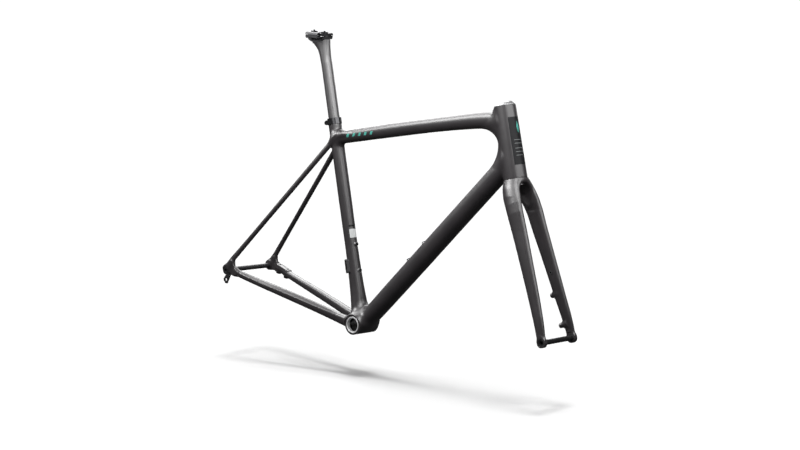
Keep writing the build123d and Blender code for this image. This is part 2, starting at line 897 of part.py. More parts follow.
def fork_leg(side):
    """Hollow leg, open into the crown, with a solid axle eye at its tip."""
    stations = leg_stations(side)
    with BuildPart() as body:
        add(tube(stations))
        eye_start = side * front_hub_width / 2
        add(rod(axle_plane(front_axle, eye_start, side), 11.4, fork_tip_thickness))
        add(tube(stations[:5], leg_wall), mode=Mode.SUBTRACT)
        with BuildSketch(axle_plane(front_axle, eye_start, -side)):
            Circle(14)
        extrude(amount=8, mode=Mode.SUBTRACT)
    return body.part


tip_outer = front_hub_width / 2 + fork_tip_thickness
fork_nut_radius = 8.6

with BuildPart() as right_fork_leg:
    add(fork_leg(-1))
    nut_start = axle_plane(front_axle, -tip_outer - 2)
    add(rod(nut_start, fork_nut_radius, fork_tip_thickness + 4), mode=Mode.SUBTRACT)

with BuildPart() as front_axle_nut:
    add(
        rod(axle_plane(front_axle, -tip_outer + 1.5), fork_nut_radius, fork_tip_thickness - 1.5, axle_radius)
    )

with BuildPart() as left_tip_bush:
    add(rod(axle_plane(front_axle, front_hub_width / 2), fork_nut_radius, fork_tip_thickness, axle_radius))
    add(
        rod(axle_plane(front_axle, tip_outer - head_recess), fork_nut_radius - 1.0, head_recess),
        mode=Mode.SUBTRACT,
    )

with BuildPart() as front_thru_axle:
    add(thru_axle(front_axle, -tip_outer + 3, tip_outer - head_recess + 0.3, fork_nut_radius - 1.3))

# Two threaded brake bosses stand out from the rear edge of the left leg.
leg_run = leg_direction(3, 1)
leg_run = Vector(leg_run.X, 0, leg_run.Z).normalized()
leg_back = Vector(leg_run.Z, 0, -leg_run.X)
lower_boss = steer_point(head_tube_length + 337, 45.5, 51.5)
brake_bosses = [lower_boss - leg_run * front_brake_spacing, lower_boss]
brake_bosses = [brake_bosses[0] - left * 4.5, brake_bosses[1] - left * 0.5]
boss_reach = 21.5
brake_insert_radius = 4.0


def brake_boss_plane(point, distance):
    return Plane(origin=point + leg_back * distance, x_dir=left, z_dir=leg_back)


fork_port = steer_point(head_tube_length + 219, 32.2, 43.6)
fork_port_plane = Plane(origin=fork_port - left * 2, x_dir=leg_run, z_dir=-left)

with BuildPart() as left_fork_leg:
    add(fork_leg(1))
    for point in brake_bosses:
        add(rod(brake_boss_plane(point, 0), 6.3, boss_reach))
    add(rod(axle_plane(front_axle, front_hub_width / 2 - 1), fork_nut_radius, 14), mode=Mode.SUBTRACT)
    for point in brake_bosses:
        add(rod(brake_boss_plane(point, boss_reach - 13), brake_insert_radius, 14), mode=Mode.SUBTRACT)
    add(rod(fork_port_plane, hose_port_radius, 12), mode=Mode.SUBTRACT)

with BuildPart() as front_brake_inserts:
    for point in brake_bosses:
        add(rod(brake_boss_plane(point, boss_reach - 13), brake_insert_radius, 13))
        add(rod(brake_boss_plane(point, boss_reach - 11), 2.1, 12), mode=Mode.SUBTRACT)

with BuildPart() as fork_hose_grommet:
    add(grommet(fork_port_plane, 3.5, 7.4, 0.7))

# ---------------------------------------------------------------- seatpost

clamp_middle = -205.0
tilt_height = 712.0
trough_radius = 50.0
post_bore_radius = 11.4
bolt_offset = 17.5
rim_height = 672.0


def level_ellipse_plane(x, z):
    return Plane(origin=(x, 0, z), x_dir=(1, 0, 0), z_dir=(0, 0, 1))


head_sections = [(-183.9, 644.0, 17.6, 13.6), (-189.1, 653.0, 21.6, 13.9), (-196.4, 662.5, 27.8, 15.0)]
head_sections.append((-204.7, rim_height, 35.2, 17.0))
flare_start = 640.0
channel_bottom = 647.0
channel_height = 13.0

with BuildPart() as seatpost:
    with BuildSketch(seat_plane(flare_start)):
        Circle(post_radius)
    with BuildSketch(Plane(origin=(-179.2, 0, 632.0), x_dir=(0.988, 0, 0.15), z_dir=(-0.15, 0, 0.988))):
        Ellipse(14.6, post_radius)
    for x, z, half_length, half_width in head_sections:
        with BuildSketch(level_ellipse_plane(x, z)):
            Ellipse(half_length, half_width)
    loft()
    add(rod(seat_plane(post_bottom), post_radius, flare_start - post_bottom))
    add(rod(seat_plane(post_bottom - 1), post_bore_radius, flare_start - post_bottom - 8), mode=Mode.SUBTRACT)
    trough_plane = Plane(origin=(clamp_middle, -30, tilt_height), x_dir=(-1, 0, 0), z_dir=(0, 1, 0))
    add(rod(trough_plane, trough_radius, 60), mode=Mode.SUBTRACT)
    for offset in (-bolt_offset, bolt_offset):
        with BuildSketch(Plane.XY.offset(tilt_height - trough_radius - 12)):
            with Locations((clamp_middle + offset, 0)):
                SlotOverall(19, 6.4)
        extrude(amount=40, mode=Mode.SUBTRACT)
        with BuildSketch(Plane.XY.offset(channel_bottom)):
            with Locations((clamp_middle + offset, 0)):
                SlotOverall(21, 10)
        extrude(amount=channel_height, mode=Mode.SUBTRACT)

# ---------------------------------------------------------------- saddle clamp

rail_height = 681.0
clamp_length = 40.0
jaw_width = 12.0
cradle_middle_top = 678.0
cradle_bottom_plane = Plane(origin=(clamp_middle, 0, 0), x_dir=(1, 0, 0), z_dir=(0, -1, 0))
rail_gap = 0.4


def block(low, high, half_length, half_width, y=0.0):
    """Block square to the axes, centred on the clamp, with rounded upright edges."""
    with BuildPart() as body:
        with BuildSketch(Plane(origin=(clamp_middle, y, low), z_dir=(0, 0, 1))):
            RectangleRounded(2 * half_length, 2 * half_width, 1.5)
        extrude(amount=high - low)
    return body.part


def rail_bar(y):
    return rod(
        Plane(origin=(clamp_middle - 40, y, rail_height), x_dir=(0, 1, 0), z_dir=(1, 0, 0)), rail_radius, 80
    )


bolt_places = [clamp_middle - bolt_offset, clamp_middle + bolt_offset]
clamp_bolt_radius = 2.5
bolt_head_top = 657.5
clamp_bolt_tip = 692.5
nut_height = 686.3
barrel_radius = 4.0
clamp_bolt_holes = [
    rod(Plane(origin=(x, 0, 640), z_dir=(0, 0, 1)), clamp_bolt_radius, 60) for x in bolt_places
]

with BuildPart() as lower_cradle:
    with BuildSketch(cradle_bottom_plane):
        with Locations((0, tilt_height)):
            Circle(trough_radius - running_gap)
        with Locations((0, 655 + (cradle_middle_top - 655) / 2)):
            Rectangle(2 * 24.5, cradle_middle_top - 655, mode=Mode.INTERSECT)
    extrude(amount=13, both=True)
    add(block(675.2, cradle_middle_top, clamp_length / 2, rail_spacing / 2))
    for side in (-1, 1):
        add(block(674.0, rail_height - rail_gap, clamp_length / 2, jaw_width / 2, side * rail_spacing / 2))
        for end in (-1, 1):
            foot = Plane(
                origin=(clamp_middle + end * 17.0, side * rail_spacing / 2 - 4, 675.0),
                x_dir=(1, 0, 0),
                z_dir=(0, 1, 0),
            )
            add(rod(foot, 3.2, 8))
        add(rail_bar(side * rail_spacing / 2), mode=Mode.SUBTRACT)
    for hole in clamp_bolt_holes:
        add(hole, mode=Mode.SUBTRACT)

with BuildPart() as upper_clamp:
    for side in (-1, 1):
        rail_section = Plane(
            origin=(clamp_middle, side * rail_spacing / 2, 0), x_dir=(0, 1, 0), z_dir=(1, 0, 0)
        )
        with BuildSketch(rail_section):
            with Locations((0, rail_height)):
                Circle(jaw_width / 2 + 0.6)
            with Locations((0, rail_height + rail_gap + 5)):
                Rectangle(20, 10, mode=Mode.INTERSECT)
        extrude(amount=clamp_length / 2, both=True)
    for x in bolt_places:
        with BuildSketch(Plane(origin=(x, 0, 681.2), z_dir=(0, 0, 1))):
            RectangleRounded(12.5, rail_spacing, 1)
        extrude(amount=5.1)
        barrel_seat = Plane(origin=(x, -9, nut_height), x_dir=(1, 0, 0), z_dir=(0, 1, 0))
        add(rod(barrel_seat, barrel_radius, 18), mode=Mode.SUBTRACT)
    for side in (-1, 1):
        add(rail_bar(side * rail_spacing / 2), mode=Mode.SUBTRACT)
    for hole in clamp_bolt_holes:
        add(hole, mode=Mode.SUBTRACT)

with BuildPart() as clamp_barrel_nuts:
    for x in bolt_places:
        add(
            rod(
                Plane(origin=(x, -8.5, nut_height), x_dir=(1, 0, 0), z_dir=(0, 1, 0)), barrel_radius, 17
            )
        )
    for hole in clamp_bolt_holes:
        add(hole, mode=Mode.SUBTRACT)

with BuildPart() as clamp_bolts:
    for x in bolt_places:
        shank_start = Plane(origin=(x, 0, bolt_head_top), z_dir=(0, 0, 1))
        add(rod(shank_start, clamp_bolt_radius, clamp_bolt_tip - bolt_head_top))
        add(rod(Plane(origin=(x, 0, bolt_head_top - 5), z_dir=(0, 0, 1)), 4.2, 5))
        with BuildSketch(Plane(origin=(x, 0, bolt_head_top - 5), z_dir=(0, 0, 1))):
            RegularPolygon(2, 6, major_radius=False)
        extrude(amount=3, mode=Mode.SUBTRACT)

# ---------------------------------------------------------------- write every piece

pieces = {
    "head_tube": head_tube,
    "top_tube": top_tube,
    "down_tube": down_tube,
    "seat_tube": seat_tube,
    "bottom_bracket_shell": bottom_bracket_shell,
    "right_bottom_bracket_insert": right_bottom_bracket_insert,
    "left_bottom_bracket_insert": left_bottom_bracket_insert,
    "right_chainstay": right_chainstay,
    "left_chainstay": left_chainstay,
    "right_seatstay": right_seatstay,
    "left_seatstay": left_seatstay,
    "right_dropout": right_dropout,
    "left_dropout": left_dropout,
    "derailleur_hanger": derailleur_hanger,
    "hanger_bolt": hanger_bolt,
    "rear_axle_nut": rear_axle_nut,
    "rear_thru_axle": rear_thru_axle,
    "rear_brake_sleeves": rear_brake_sleeves,
    "chainstay_hose_grommet": chainstay_hose_grommet,
    "down_tube_hose_grommet": down_tube_hose_grommet,
    "seat_collar": seat_collar,
    "seat_collar_bolt": seat_collar_bolt,
    "seat_collar_nut": seat_collar_nut,
    "bottle_nuts": bottle_nuts,
    "bottle_bolts": bottle_bolts,
    "front_derailleur_mount": front_derailleur_mount,
    "front_derailleur_mount_screws": front_derailleur_mount_screws,
    "upper_bearing_outer_race": upper_bearing_outer_race,
    "lower_bearing_outer_race": lower_bearing_outer_race,
    "upper_bearing_inner_race": upper_bearing_inner_race,
    "lower_bearing_inner_race": lower_bearing_inner_race,
    "upper_bearing_balls": upper_bearing_balls,
    "lower_bearing_balls": lower_bearing_balls,
    "steerer_tube": steerer_tube,
    "compression_ring": compression_ring,
    "upper_seal": upper_seal,
    "headset_cover": headset_cover,
    "crown_race": crown_race,
    "lower_seal": lower_seal,
    "expander_plug": expander_plug,
    "top_cap": top_cap,
    "top_cap_bolt": top_cap_bolt,
    "fork_crown": fork_crown,
    "right_fork_leg": right_fork_leg,
    "left_fork_leg": left_fork_leg,
    "front_axle_nut": front_axle_nut,
    "left_tip_bush": left_tip_bush,
    "front_thru_axle": front_thru_axle,
    "front_brake_inserts": front_brake_inserts,
    "fork_hose_grommet": fork_hose_grommet,
    "seatpost": seatpost,
    "lower_cradle": lower_cradle,
    "upper_clamp": upper_clamp,
    "clamp_bolts": clamp_bolts,
    "clamp_barrel_nuts": clamp_barrel_nuts,
}

os.makedirs("parts", exist_ok=True)
for label, piece in pieces.items():
    piece.part.label = label
    export_step(piece.part, f"parts/{label}.step")
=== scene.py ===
"""Visual model of the carbon road frameset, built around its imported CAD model.

The main frame and the fork are each one smooth carbon moulding. Their skins are distance fields of
swept tubes, blended where the tubes meet and meshed by dual contouring. A field is negative inside.
Shapes are in millimetres until smooth_mesh scales them. Materials, lights and the camera are in metres.
The origin is at the bottom bracket, +X forwards, +Y to the rider's left, +Z up.
"""

import json
import math

import bpy
import numpy as np
from mathutils import Matrix, Vector

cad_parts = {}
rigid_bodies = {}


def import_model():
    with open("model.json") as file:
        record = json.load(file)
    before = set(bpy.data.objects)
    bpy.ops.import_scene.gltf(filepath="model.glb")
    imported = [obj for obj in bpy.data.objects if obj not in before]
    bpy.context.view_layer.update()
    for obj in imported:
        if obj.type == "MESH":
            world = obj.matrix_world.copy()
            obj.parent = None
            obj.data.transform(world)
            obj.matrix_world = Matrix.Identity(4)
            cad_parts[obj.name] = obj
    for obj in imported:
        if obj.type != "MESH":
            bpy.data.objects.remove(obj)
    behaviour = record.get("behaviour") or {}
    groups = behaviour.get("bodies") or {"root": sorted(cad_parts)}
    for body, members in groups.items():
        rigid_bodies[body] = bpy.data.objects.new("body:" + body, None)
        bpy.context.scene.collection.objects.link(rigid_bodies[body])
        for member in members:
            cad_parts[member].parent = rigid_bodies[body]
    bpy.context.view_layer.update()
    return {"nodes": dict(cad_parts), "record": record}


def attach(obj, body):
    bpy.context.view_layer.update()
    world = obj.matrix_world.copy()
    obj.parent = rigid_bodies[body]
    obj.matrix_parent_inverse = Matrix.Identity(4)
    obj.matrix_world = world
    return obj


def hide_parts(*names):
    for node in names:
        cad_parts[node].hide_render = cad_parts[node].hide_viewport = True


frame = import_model()
nodes = frame["nodes"]
MM = 0.001

# ---------------------------------------------------------------- directions and points of the frame


def vec(*values):
    return np.array(values, float)


def unit(v):
    return v / np.linalg.norm(v)


def tilted(angle, sign=1):
    """Unit vector in the frame's middle plane, at an angle above the ground."""
    return vec(sign * math.cos(math.radians(angle)), 0, math.sin(math.radians(angle)))


SEAT_ANGLE, HEAD_ANGLE, DOWN_TUBE_ANGLE = 74.25, 73.5, 47.6
CHAINSTAY, WHEELBASE, BRACKET_DROP = 410.0, 990.0, 71.0
LEFT = vec(0, 1, 0)
UP = vec(0, 0, 1)
SEAT_UP = tilted(SEAT_ANGLE, -1)
SEAT_FRONT = vec(SEAT_UP[2], 0, -SEAT_UP[0])
STEER_UP = tilted(HEAD_ANGLE, -1)
STEER_FRONT = vec(STEER_UP[2], 0, -STEER_UP[0])
DOWN_UP = tilted(DOWN_TUBE_ANGLE)
DOWN_TOP_SIDE = vec(-DOWN_UP[2], 0, DOWN_UP[0])
DOWN_FOOT = vec(5.9, 0, 0)
HEAD_TOP = vec(388, 0, 570)
HEAD_LENGTH = 165.0
CROWN_TOP = 166.0
REAR_AXLE = vec(-math.sqrt(CHAINSTAY**2 - BRACKET_DROP**2), 0, BRACKET_DROP)
FRONT_AXLE = REAR_AXLE + vec(WHEELBASE, 0, 0)
COLLAR_BOTTOM, SEAT_TOP = 488.0, 503.0


def steer_point(below, fore=0.0, side=0.0):
    """Point at a depth below the head tube's top, ahead of the steering axis and out to the left."""
    return HEAD_TOP - STEER_UP * below + STEER_FRONT * fore + LEFT * side


# ---------------------------------------------------------------- distance fields

FAR = 60.0
NEAR_AXIS = 1e-3
PATH_SPANS = 3


def blend_min(a, b, k):
    """Union of two fields with a fillet whose size grows with k."""
    h = np.maximum(k - np.abs(a - b), 0) / k
    return np.minimum(a, b) - h * h * k / 4


def blend_max(a, b, k):
    """Intersection of two fields with a rounded edge."""
    return -blend_min(-a, -b, k)


def carve(body, tool):
    """The body with the tool's shape taken out of it."""
    return np.maximum(body, -tool)


def ramp(value, start, end):
    """0 before start and 1 after end, smoothly between."""
    t = np.clip((value - start) / (end - start), 0, 1)
    return t * t * (3 - 2 * t)


def smooth_path(rows):
    """Hermite curve through rows of point and sizes, with PATH_SPANS pieces between two rows."""
    rows = np.array(rows, float)
    s = np.concatenate([[0], np.cumsum(np.linalg.norm(np.diff(rows[:, :3], axis=0), axis=1))])
    slope = np.gradient(rows, s, axis=0)
    out = []
    for i in range(len(rows) - 1):
        step = s[i + 1] - s[i]
        for t in np.arange(PATH_SPANS) / PATH_SPANS:
            out.append(
                (2 * t**3 - 3 * t**2 + 1) * rows[i]
                + (t**3 - 2 * t**2 + t) * step * slope[i]
                + (3 * t**2 - 2 * t**3) * rows[i + 1]
                + (t**3 - t**2) * step * slope[i + 1]
            )
    out.append(rows[-1])
    return np.array(out)


def sweep(rows, power, bevel=None):
    """Tube along rows of x, y, z, half width across the frame and half depth.

    A power above 2 squares the section. With a bevel, a third size in each row is the reach at which
    the section is cut flat, square to the bevel's (across, up).
    """
    line = smooth_path([[*point, *sizes] for point, *sizes in rows])
    tangent = np.gradient(line[:, :3], axis=0)
    tangent /= np.linalg.norm(tangent, axis=1)[:, None]
    first, last = line[0, :3], line[-1, :3]
    chord = last - first
    along = (line[:, :3] - first) @ chord / (chord @ chord)
    sag = np.linalg.norm(line[:, :3] - first - along[:, None] * chord, axis=1).max()
    widest = line[:, 3:5].max() + sag

    def field(p):
        t = np.clip((p - first) @ chord / (chord @ chord), 0, 1)
        rough = np.linalg.norm(p - first - t[:, None] * chord, axis=1) - widest
        if rough.min() > FAR:
            return rough
        best = np.full(len(p), np.inf)
        index = np.zeros(len(p), int)
        share = np.zeros(len(p))
        for i in range(len(line) - 1):
            run = line[i + 1, :3] - line[i, :3]
            t = np.clip((p - line[i, :3]) @ run / (run @ run), 0, 1)
            gap = ((p - line[i, :3] - t[:, None] * run) ** 2).sum(1)
            near = gap < best
            best[near], index[near], share[near] = gap[near], i, t[near]
        row = line[index] + (line[index + 1] - line[index]) * share[:, None]
        axis = tangent[index] + (tangent[index + 1] - tangent[index]) * share[:, None]
        axis /= np.linalg.norm(axis, axis=1)[:, None]
        across = LEFT - axis * axis[:, 1:2]
        across /= np.linalg.norm(across, axis=1)[:, None]
        offset = p - row[:, :3]
        u = (offset * across).sum(1)
        v = (offset * np.cross(across, axis)).sum(1)
        radius = np.hypot(u, v)
        ratio = (np.abs(u / row[:, 3]) ** power + np.abs(v / row[:, 4]) ** power) ** (1 / power)
        if bevel:
            facet = (bevel[0] * u / row[:, 3] + bevel[1] * v / row[:, 4]) / row[:, 5]
            ratio = np.maximum(ratio, facet)
        outside = radius * (1 - 1 / np.maximum(ratio, NEAR_AXIS))
        side = np.where(ratio > NEAR_AXIS, outside, -row[:, 3:5].min(1))
        beyond = np.abs((offset * axis).sum(1))
        ends = ((index == 0) & (share <= 0)) | ((index == len(line) - 2) & (share >= 1))
        return np.where(ends, np.hypot(np.maximum(side, 0), beyond), side)

    return field


def bar(start, direction, radius, length):
    """Round bar from start along direction."""
    direction = unit(direction)

    def field(p):
        along = (p - start) @ direction
        rho = np.linalg.norm(p - start - along[:, None] * direction, axis=1)
        return np.maximum(rho - radius, np.maximum(-along, along - length))

    return field


def round_cone_2d(x, z, a, b, ra, rb):
    """Distance in the side view to the hull of two circles."""
    run = vec(b[0] - a[0], b[1] - a[1])
    length = np.linalg.norm(run)
    run /= length
    dx, dz = x - a[0], z - a[1]
    along = dx * run[0] + dz * run[1]
    away = np.abs(dx * run[1] - dz * run[0])
    slope = (ra - rb) / length
    cosine = math.sqrt(1 - slope * slope)
    t = np.clip((along + away * slope / cosine) / length, 0, 1)
    return np.hypot(along - t * length, away) - (ra + (rb - ra) * t)


def rounded_block(centre, axes, half, radius):
    """Box with rounded edges, turned to three unit axes."""
    axes = np.array(axes)

    def field(p):
        q = np.abs((p - centre) @ axes.T) - (np.array(half) - radius)
        return np.linalg.norm(np.maximum(q, 0), axis=1) + np.minimum(q.max(1), 0) - radius

    return field


# ---------------------------------------------------------------- dual contouring

BLOCK = 8  # grid steps across one coarse block
CHUNK = 6144  # points evaluated at a time
GRADIENT_STEP = 0.04
FIELD_SLACK = 1.35  # room for blended fields, which are not exact distances
ROOT_STEPS = 3
ROOT_MARGIN = 0.02
FLATNESS = 0.02  # pull of each vertex to the mean of its surface points


def evaluate(field, points):
    """The field at the points, a chunk at a time to save memory."""
    out = np.empty(len(points))
    for start in range(0, len(points), CHUNK):
        out[start:start + CHUNK] = field(points[start:start + CHUNK])
    return out


def gradient(field, points):
    """Unit normals of the field, from four samples round each point."""
    corners = np.array([(1, -1, -1), (-1, -1, 1), (-1, 1, -1), (1, 1, 1)], float)
    total = np.zeros_like(points)
    for corner in corners:
        total += evaluate(field, points + corner * GRADIENT_STEP)[:, None] * corner
    return total / np.maximum(np.linalg.norm(total, axis=1), 1e-12)[:, None]


def contour(field, low, high, step):
    """Closed quad mesh of the field's surface. Vertices and faces, with crisp edges kept."""
    low = np.array(low, float)
    blocks = np.ceil((np.array(high) - low) / (step * BLOCK)).astype(int)
    size = step * BLOCK
    where = np.stack(np.meshgrid(*[np.arange(n) for n in blocks], indexing="ij"), -1).reshape(-1, 3)
    middle = evaluate(field, low + (where + 0.5) * size)
    reach = 0.5 * math.sqrt(3) * size * FIELD_SLACK + 2 * step
    grid = np.full(blocks * BLOCK + 1, reach)
    coarse = np.where(middle > 0, reach, -reach).reshape(blocks)
    for axis in range(3):
        coarse = np.repeat(coarse, BLOCK, axis)
    grid[:-1, :-1, :-1] = coarse
    near = where[np.abs(middle) < reach]
    inside = np.stack(np.meshgrid(*[np.arange(BLOCK)] * 3, indexing="ij"), -1).reshape(-1, 3)
    index = (near[:, None] * BLOCK + inside).reshape(-1, 3)
    grid[index[:, 0], index[:, 1], index[:, 2]] = evaluate(field, low + index * step)

    hits, quads = [], []
    for axis in range(3):
        b, c = (axis + 1) % 3, (axis + 2) % 3
        lower = np.take(grid, range(grid.shape[axis] - 1), axis)
        upper = np.take(grid, range(1, grid.shape[axis]), axis)
        at = np.argwhere((lower < 0) != (upper < 0))
        at = at[np.lexsort((at // BLOCK).T)]
        va, vb = lower[tuple(at.T)], upper[tuple(at.T)]
        ta, tb = np.zeros(len(at)), np.ones(len(at))
        fa, fb = va.copy(), vb.copy()
        for _ in range(ROOT_STEPS):
            t = ta + (tb - ta) * np.clip(fa / (fa - fb), ROOT_MARGIN, 1 - ROOT_MARGIN)
            point = low + at * step
            point[:, axis] += t * step
            f = evaluate(field, point)
            same = (f < 0) == (fa < 0)
            ta, fa = np.where(same, t, ta), np.where(same, f, fa)
            tb, fb = np.where(same, tb, t), np.where(same, fb, f)
        t = ta + (tb - ta) * np.clip(fa / (fa - fb), 0, 1)
        point = low + at * step
        point[:, axis] += t * step
        ring = []
        for db, dc in ((-1, -1), (0, -1), (0, 0), (-1, 0)):
            cell = at.copy()
            cell[:, b] += db
            cell[:, c] += dc
            ring.append(np.ravel_multi_index(cell.T, grid.shape))
        ring = np.array(ring).T
        ring[va > 0] = ring[va > 0][:, ::-1]
        quads.append(ring)
        hits.append(point)
    quads, hits = np.concatenate(quads), np.concatenate(hits)
    normal = gradient(field, hits)
    cells, faces = np.unique(quads, return_inverse=True)
    faces = faces.reshape(quads.shape)
    owner = faces.ravel()
    hit, normal = np.repeat(hits, 4, axis=0), np.repeat(normal, 4, axis=0)

    def gather(values):
        return np.bincount(owner, values, len(cells))

    count = gather(np.ones(len(owner)))
    mass = np.stack([gather(hit[:, i]) for i in range(3)], 1) / count[:, None]
    offset = ((hit - mass[owner]) * normal).sum(1)
    matrix = np.zeros((len(cells), 3, 3))
    right = np.zeros((len(cells), 3))
    for i in range(3):
        right[:, i] = gather(normal[:, i] * offset)
        for j in range(3):
            matrix[:, i, j] = gather(normal[:, i] * normal[:, j]) + (i == j) * FLATNESS * count
    corner = low + np.array(np.unravel_index(cells, grid.shape)).T * step
    vertices = mass + np.linalg.solve(matrix, right[:, :, None])[:, :, 0]
    return np.clip(vertices, corner, corner + step), faces


SHARP_ANGLE = 38


def smooth_mesh(name, vertices, faces):
    """Object with shared smooth normals, split where the surface turns by more than SHARP_ANGLE."""
    mesh = bpy.data.meshes.new(name)
    mesh.from_pydata((np.asarray(vertices) * MM).tolist(), [], np.asarray(faces).tolist())
    mesh.shade_smooth()
    mesh.set_sharp_from_angle(angle=math.radians(SHARP_ANGLE))
    obj = bpy.data.objects.new(name, mesh)
    bpy.context.scene.collection.objects.link(obj)
    return obj


# ---------------------------------------------------------------- main frame's field

TOP_REAR = vec(-123, 0, 437)
TOP_FRONT = steer_point(31)
TOP_RUN = unit(TOP_FRONT - TOP_REAR)
TOP_UP = vec(-TOP_RUN[2], 0, TOP_RUN[0])
TOP_LENGTH = np.linalg.norm(TOP_FRONT - TOP_REAR)
TUBE_POWER, SEAT_POWER, CHAIN_POWER, STAY_POWER = 2.2, 2.08, 2.6, 2.1

# Each row of a tube is a point on its line, the half width across the frame and the half depth.
top_field = sweep(
    [
        (TOP_REAR + TOP_UP * 0.5, 15.4, 15.8),
        (TOP_REAR + TOP_RUN * TOP_LENGTH * 0.35 + TOP_UP * 5.3, 15.6, 17.6),
        (TOP_REAR + TOP_RUN * TOP_LENGTH * 0.7 + TOP_UP * 6.8, 15.8, 18.1),
        (TOP_REAR + TOP_RUN * TOP_LENGTH * 0.86 + TOP_UP * 5.7, 17.2, 20.0),
        (TOP_FRONT + TOP_UP * 1.2, 20.0, 21.8),
    ],
    TUBE_POWER,
)
down_field = sweep(
    [
        (DOWN_FOOT, 28.5, 18.5),
        (DOWN_FOOT + DOWN_UP * 70, 24.0, 21.6),
        (DOWN_FOOT + DOWN_UP * 160, 22.6, 22.6),
        (DOWN_FOOT + DOWN_UP * 520, 22.6, 22.6),
        (DOWN_FOOT + DOWN_UP * 617, 22.6, 23.0),
    ],
    TUBE_POWER,
)
seat_field = sweep(
    [
        (SEAT_UP * 0, 26.0, 19.0),
        (SEAT_UP * 30, 24.0, 18.6),
        (SEAT_UP * 70, 18.6, 18.0),
        (SEAT_UP * 130, 16.0, 15.8),
        (SEAT_UP * 300, 15.6, 15.6),
        (SEAT_UP * COLLAR_BOTTOM, 15.6, 15.6),
    ],
    SEAT_POWER,
)
COLLAR_SEAT_FOOT, COLLAR_SEAT_RADIUS = 470.0, 14.95
SHELL_RADIUS, SHELL_HALF = 24.0, 34.0
collar_seat_field = bar(
    SEAT_UP * COLLAR_SEAT_FOOT, SEAT_UP, COLLAR_SEAT_RADIUS, SEAT_TOP - COLLAR_SEAT_FOOT
)
shell_field = bar(LEFT * -SHELL_HALF, LEFT, SHELL_RADIUS, 2 * SHELL_HALF)

CHAIN_BEND = vec(-58, 26.5, 7)
CHAIN_REAR = vec(-374, 74.8, 70.5)
STAY_TOP = vec(-114.5, 11.5, 441.4)
STAY_REAR = vec(-387, 75, 99)
CHAIN_RUN = unit(CHAIN_REAR - CHAIN_BEND)
CHAIN_LENGTH = np.linalg.norm(CHAIN_REAR - CHAIN_BEND)
STAY_RUN = unit(STAY_REAR - STAY_TOP)
STAY_LENGTH = np.linalg.norm(STAY_REAR - STAY_TOP)
PLATE_INNER, PLATE_OUTER = 71.0, 79.0


def both_sides(rows, power, bevel=None):
    """Tube on the left, and its mirror image on the right, as one field of |y|."""
    tube = sweep(rows, power, bevel=bevel)

    def field(p):
        q = p.copy()
        q[:, 1] = np.abs(q[:, 1])
        return tube(q)

    return field


CHAIN_BEVEL = (0.62, 0.78)
chain_field = both_sides(
    [
        (vec(-6, 24, 0), 8.5, 14.0, 1.2),
        (CHAIN_BEND + UP * 1.2, 9.0, 12.0, 1.08),
        (CHAIN_BEND + CHAIN_RUN * 40 + UP * 1.8, 9.0, 11.6, 0.97),
        (CHAIN_BEND + CHAIN_RUN * CHAIN_LENGTH * 0.45 + UP * 1.8, 8.8, 10.8, 0.92),
        (CHAIN_BEND + CHAIN_RUN * CHAIN_LENGTH * 0.85, 8.0, 8.8, 0.92),
        (CHAIN_REAR, 4.2, 8.5, 0.95),
    ],
    CHAIN_POWER,
    bevel=CHAIN_BEVEL,
)
stay_field = both_sides(
    [
        (vec(-66, 9.5, 453), 5.0, 6.0),
        (vec(-88, 12.2, 451.5), 5.6, 6.6),
        (STAY_TOP + STAY_RUN, 6.0, 6.6),
        (STAY_TOP + STAY_RUN * 30, 5.8, 6.5),
        (STAY_TOP + STAY_RUN * STAY_LENGTH * 0.5, 5.6, 6.0),
        (STAY_TOP + STAY_RUN * STAY_LENGTH * 0.92, 5.2, 6.3),
        (STAY_REAR, 4.4, 7.2),
        (STAY_REAR + vec(-20.6, 0, -25.9), 4.0, 8.2),
    ],
    STAY_POWER,
)


def plate_field(p):
    """Flat dropout plates, the same on both sides."""
    x, z = p[:, 0], p[:, 2]
    eye, low = (REAR_AXLE[0], REAR_AXLE[2]), (CHAIN_REAR[0], 70.8)
    high = (STAY_REAR[0] + 2, STAY_REAR[2] - 8)
    lower_arm = round_cone_2d(x, z, eye, low, 12.2, 8.2)
    flat = blend_min(lower_arm, round_cone_2d(x, z, low, high, 7.0, 4.0), 9.0)
    middle = (PLATE_INNER + PLATE_OUTER) / 2
    return blend_max(flat, np.abs(np.abs(p[:, 1]) - middle) - (PLATE_OUTER - middle), 2.0)


BRAKE_UP = unit(UP - CHAIN_RUN * CHAIN_RUN[2])
BRAKE_SIDE = np.cross(CHAIN_RUN, BRAKE_UP)
REAR_BRAKE = [CHAIN_REAR - CHAIN_RUN * 25 + CHAIN_RUN * step for step in (17, -17)]
PAD_TOP, BOSS_BOTTOM = 11.0, -13.0
PAD_HALF = (25.5, 7.6, 5.4)
PAD_MIDDLE = (REAR_BRAKE[0] + REAR_BRAKE[1]) / 2 + BRAKE_UP * 5.6
brake_pad = rounded_block(PAD_MIDDLE, (CHAIN_RUN, BRAKE_SIDE, BRAKE_UP), PAD_HALF, 1.5)
brake_bosses = [bar(point + BRAKE_UP * BOSS_BOTTOM, BRAKE_UP, 6.4, 13) for point in REAR_BRAKE]
brake_holes = [bar(point + BRAKE_UP * (BOSS_BOTTOM - 2), BRAKE_UP, 4.2, 30) for point in REAR_BRAKE]

CHAIN_INWARD = -BRAKE_SIDE
PORT_RADIUS = 4.0
chain_port = bar(CHAIN_REAR - CHAIN_RUN * 118 + CHAIN_INWARD * 3, CHAIN_INWARD, PORT_RADIUS, 12)
down_port = bar(DOWN_FOOT + DOWN_UP * 540 + LEFT * 14, LEFT, PORT_RADIUS, 14)

HANGER_HOLE = vec(-402.5, 0, 47.0)
HANGER_SCREW = vec(-391.0, 0, 66.0)
HANGER_FACE = -74.45


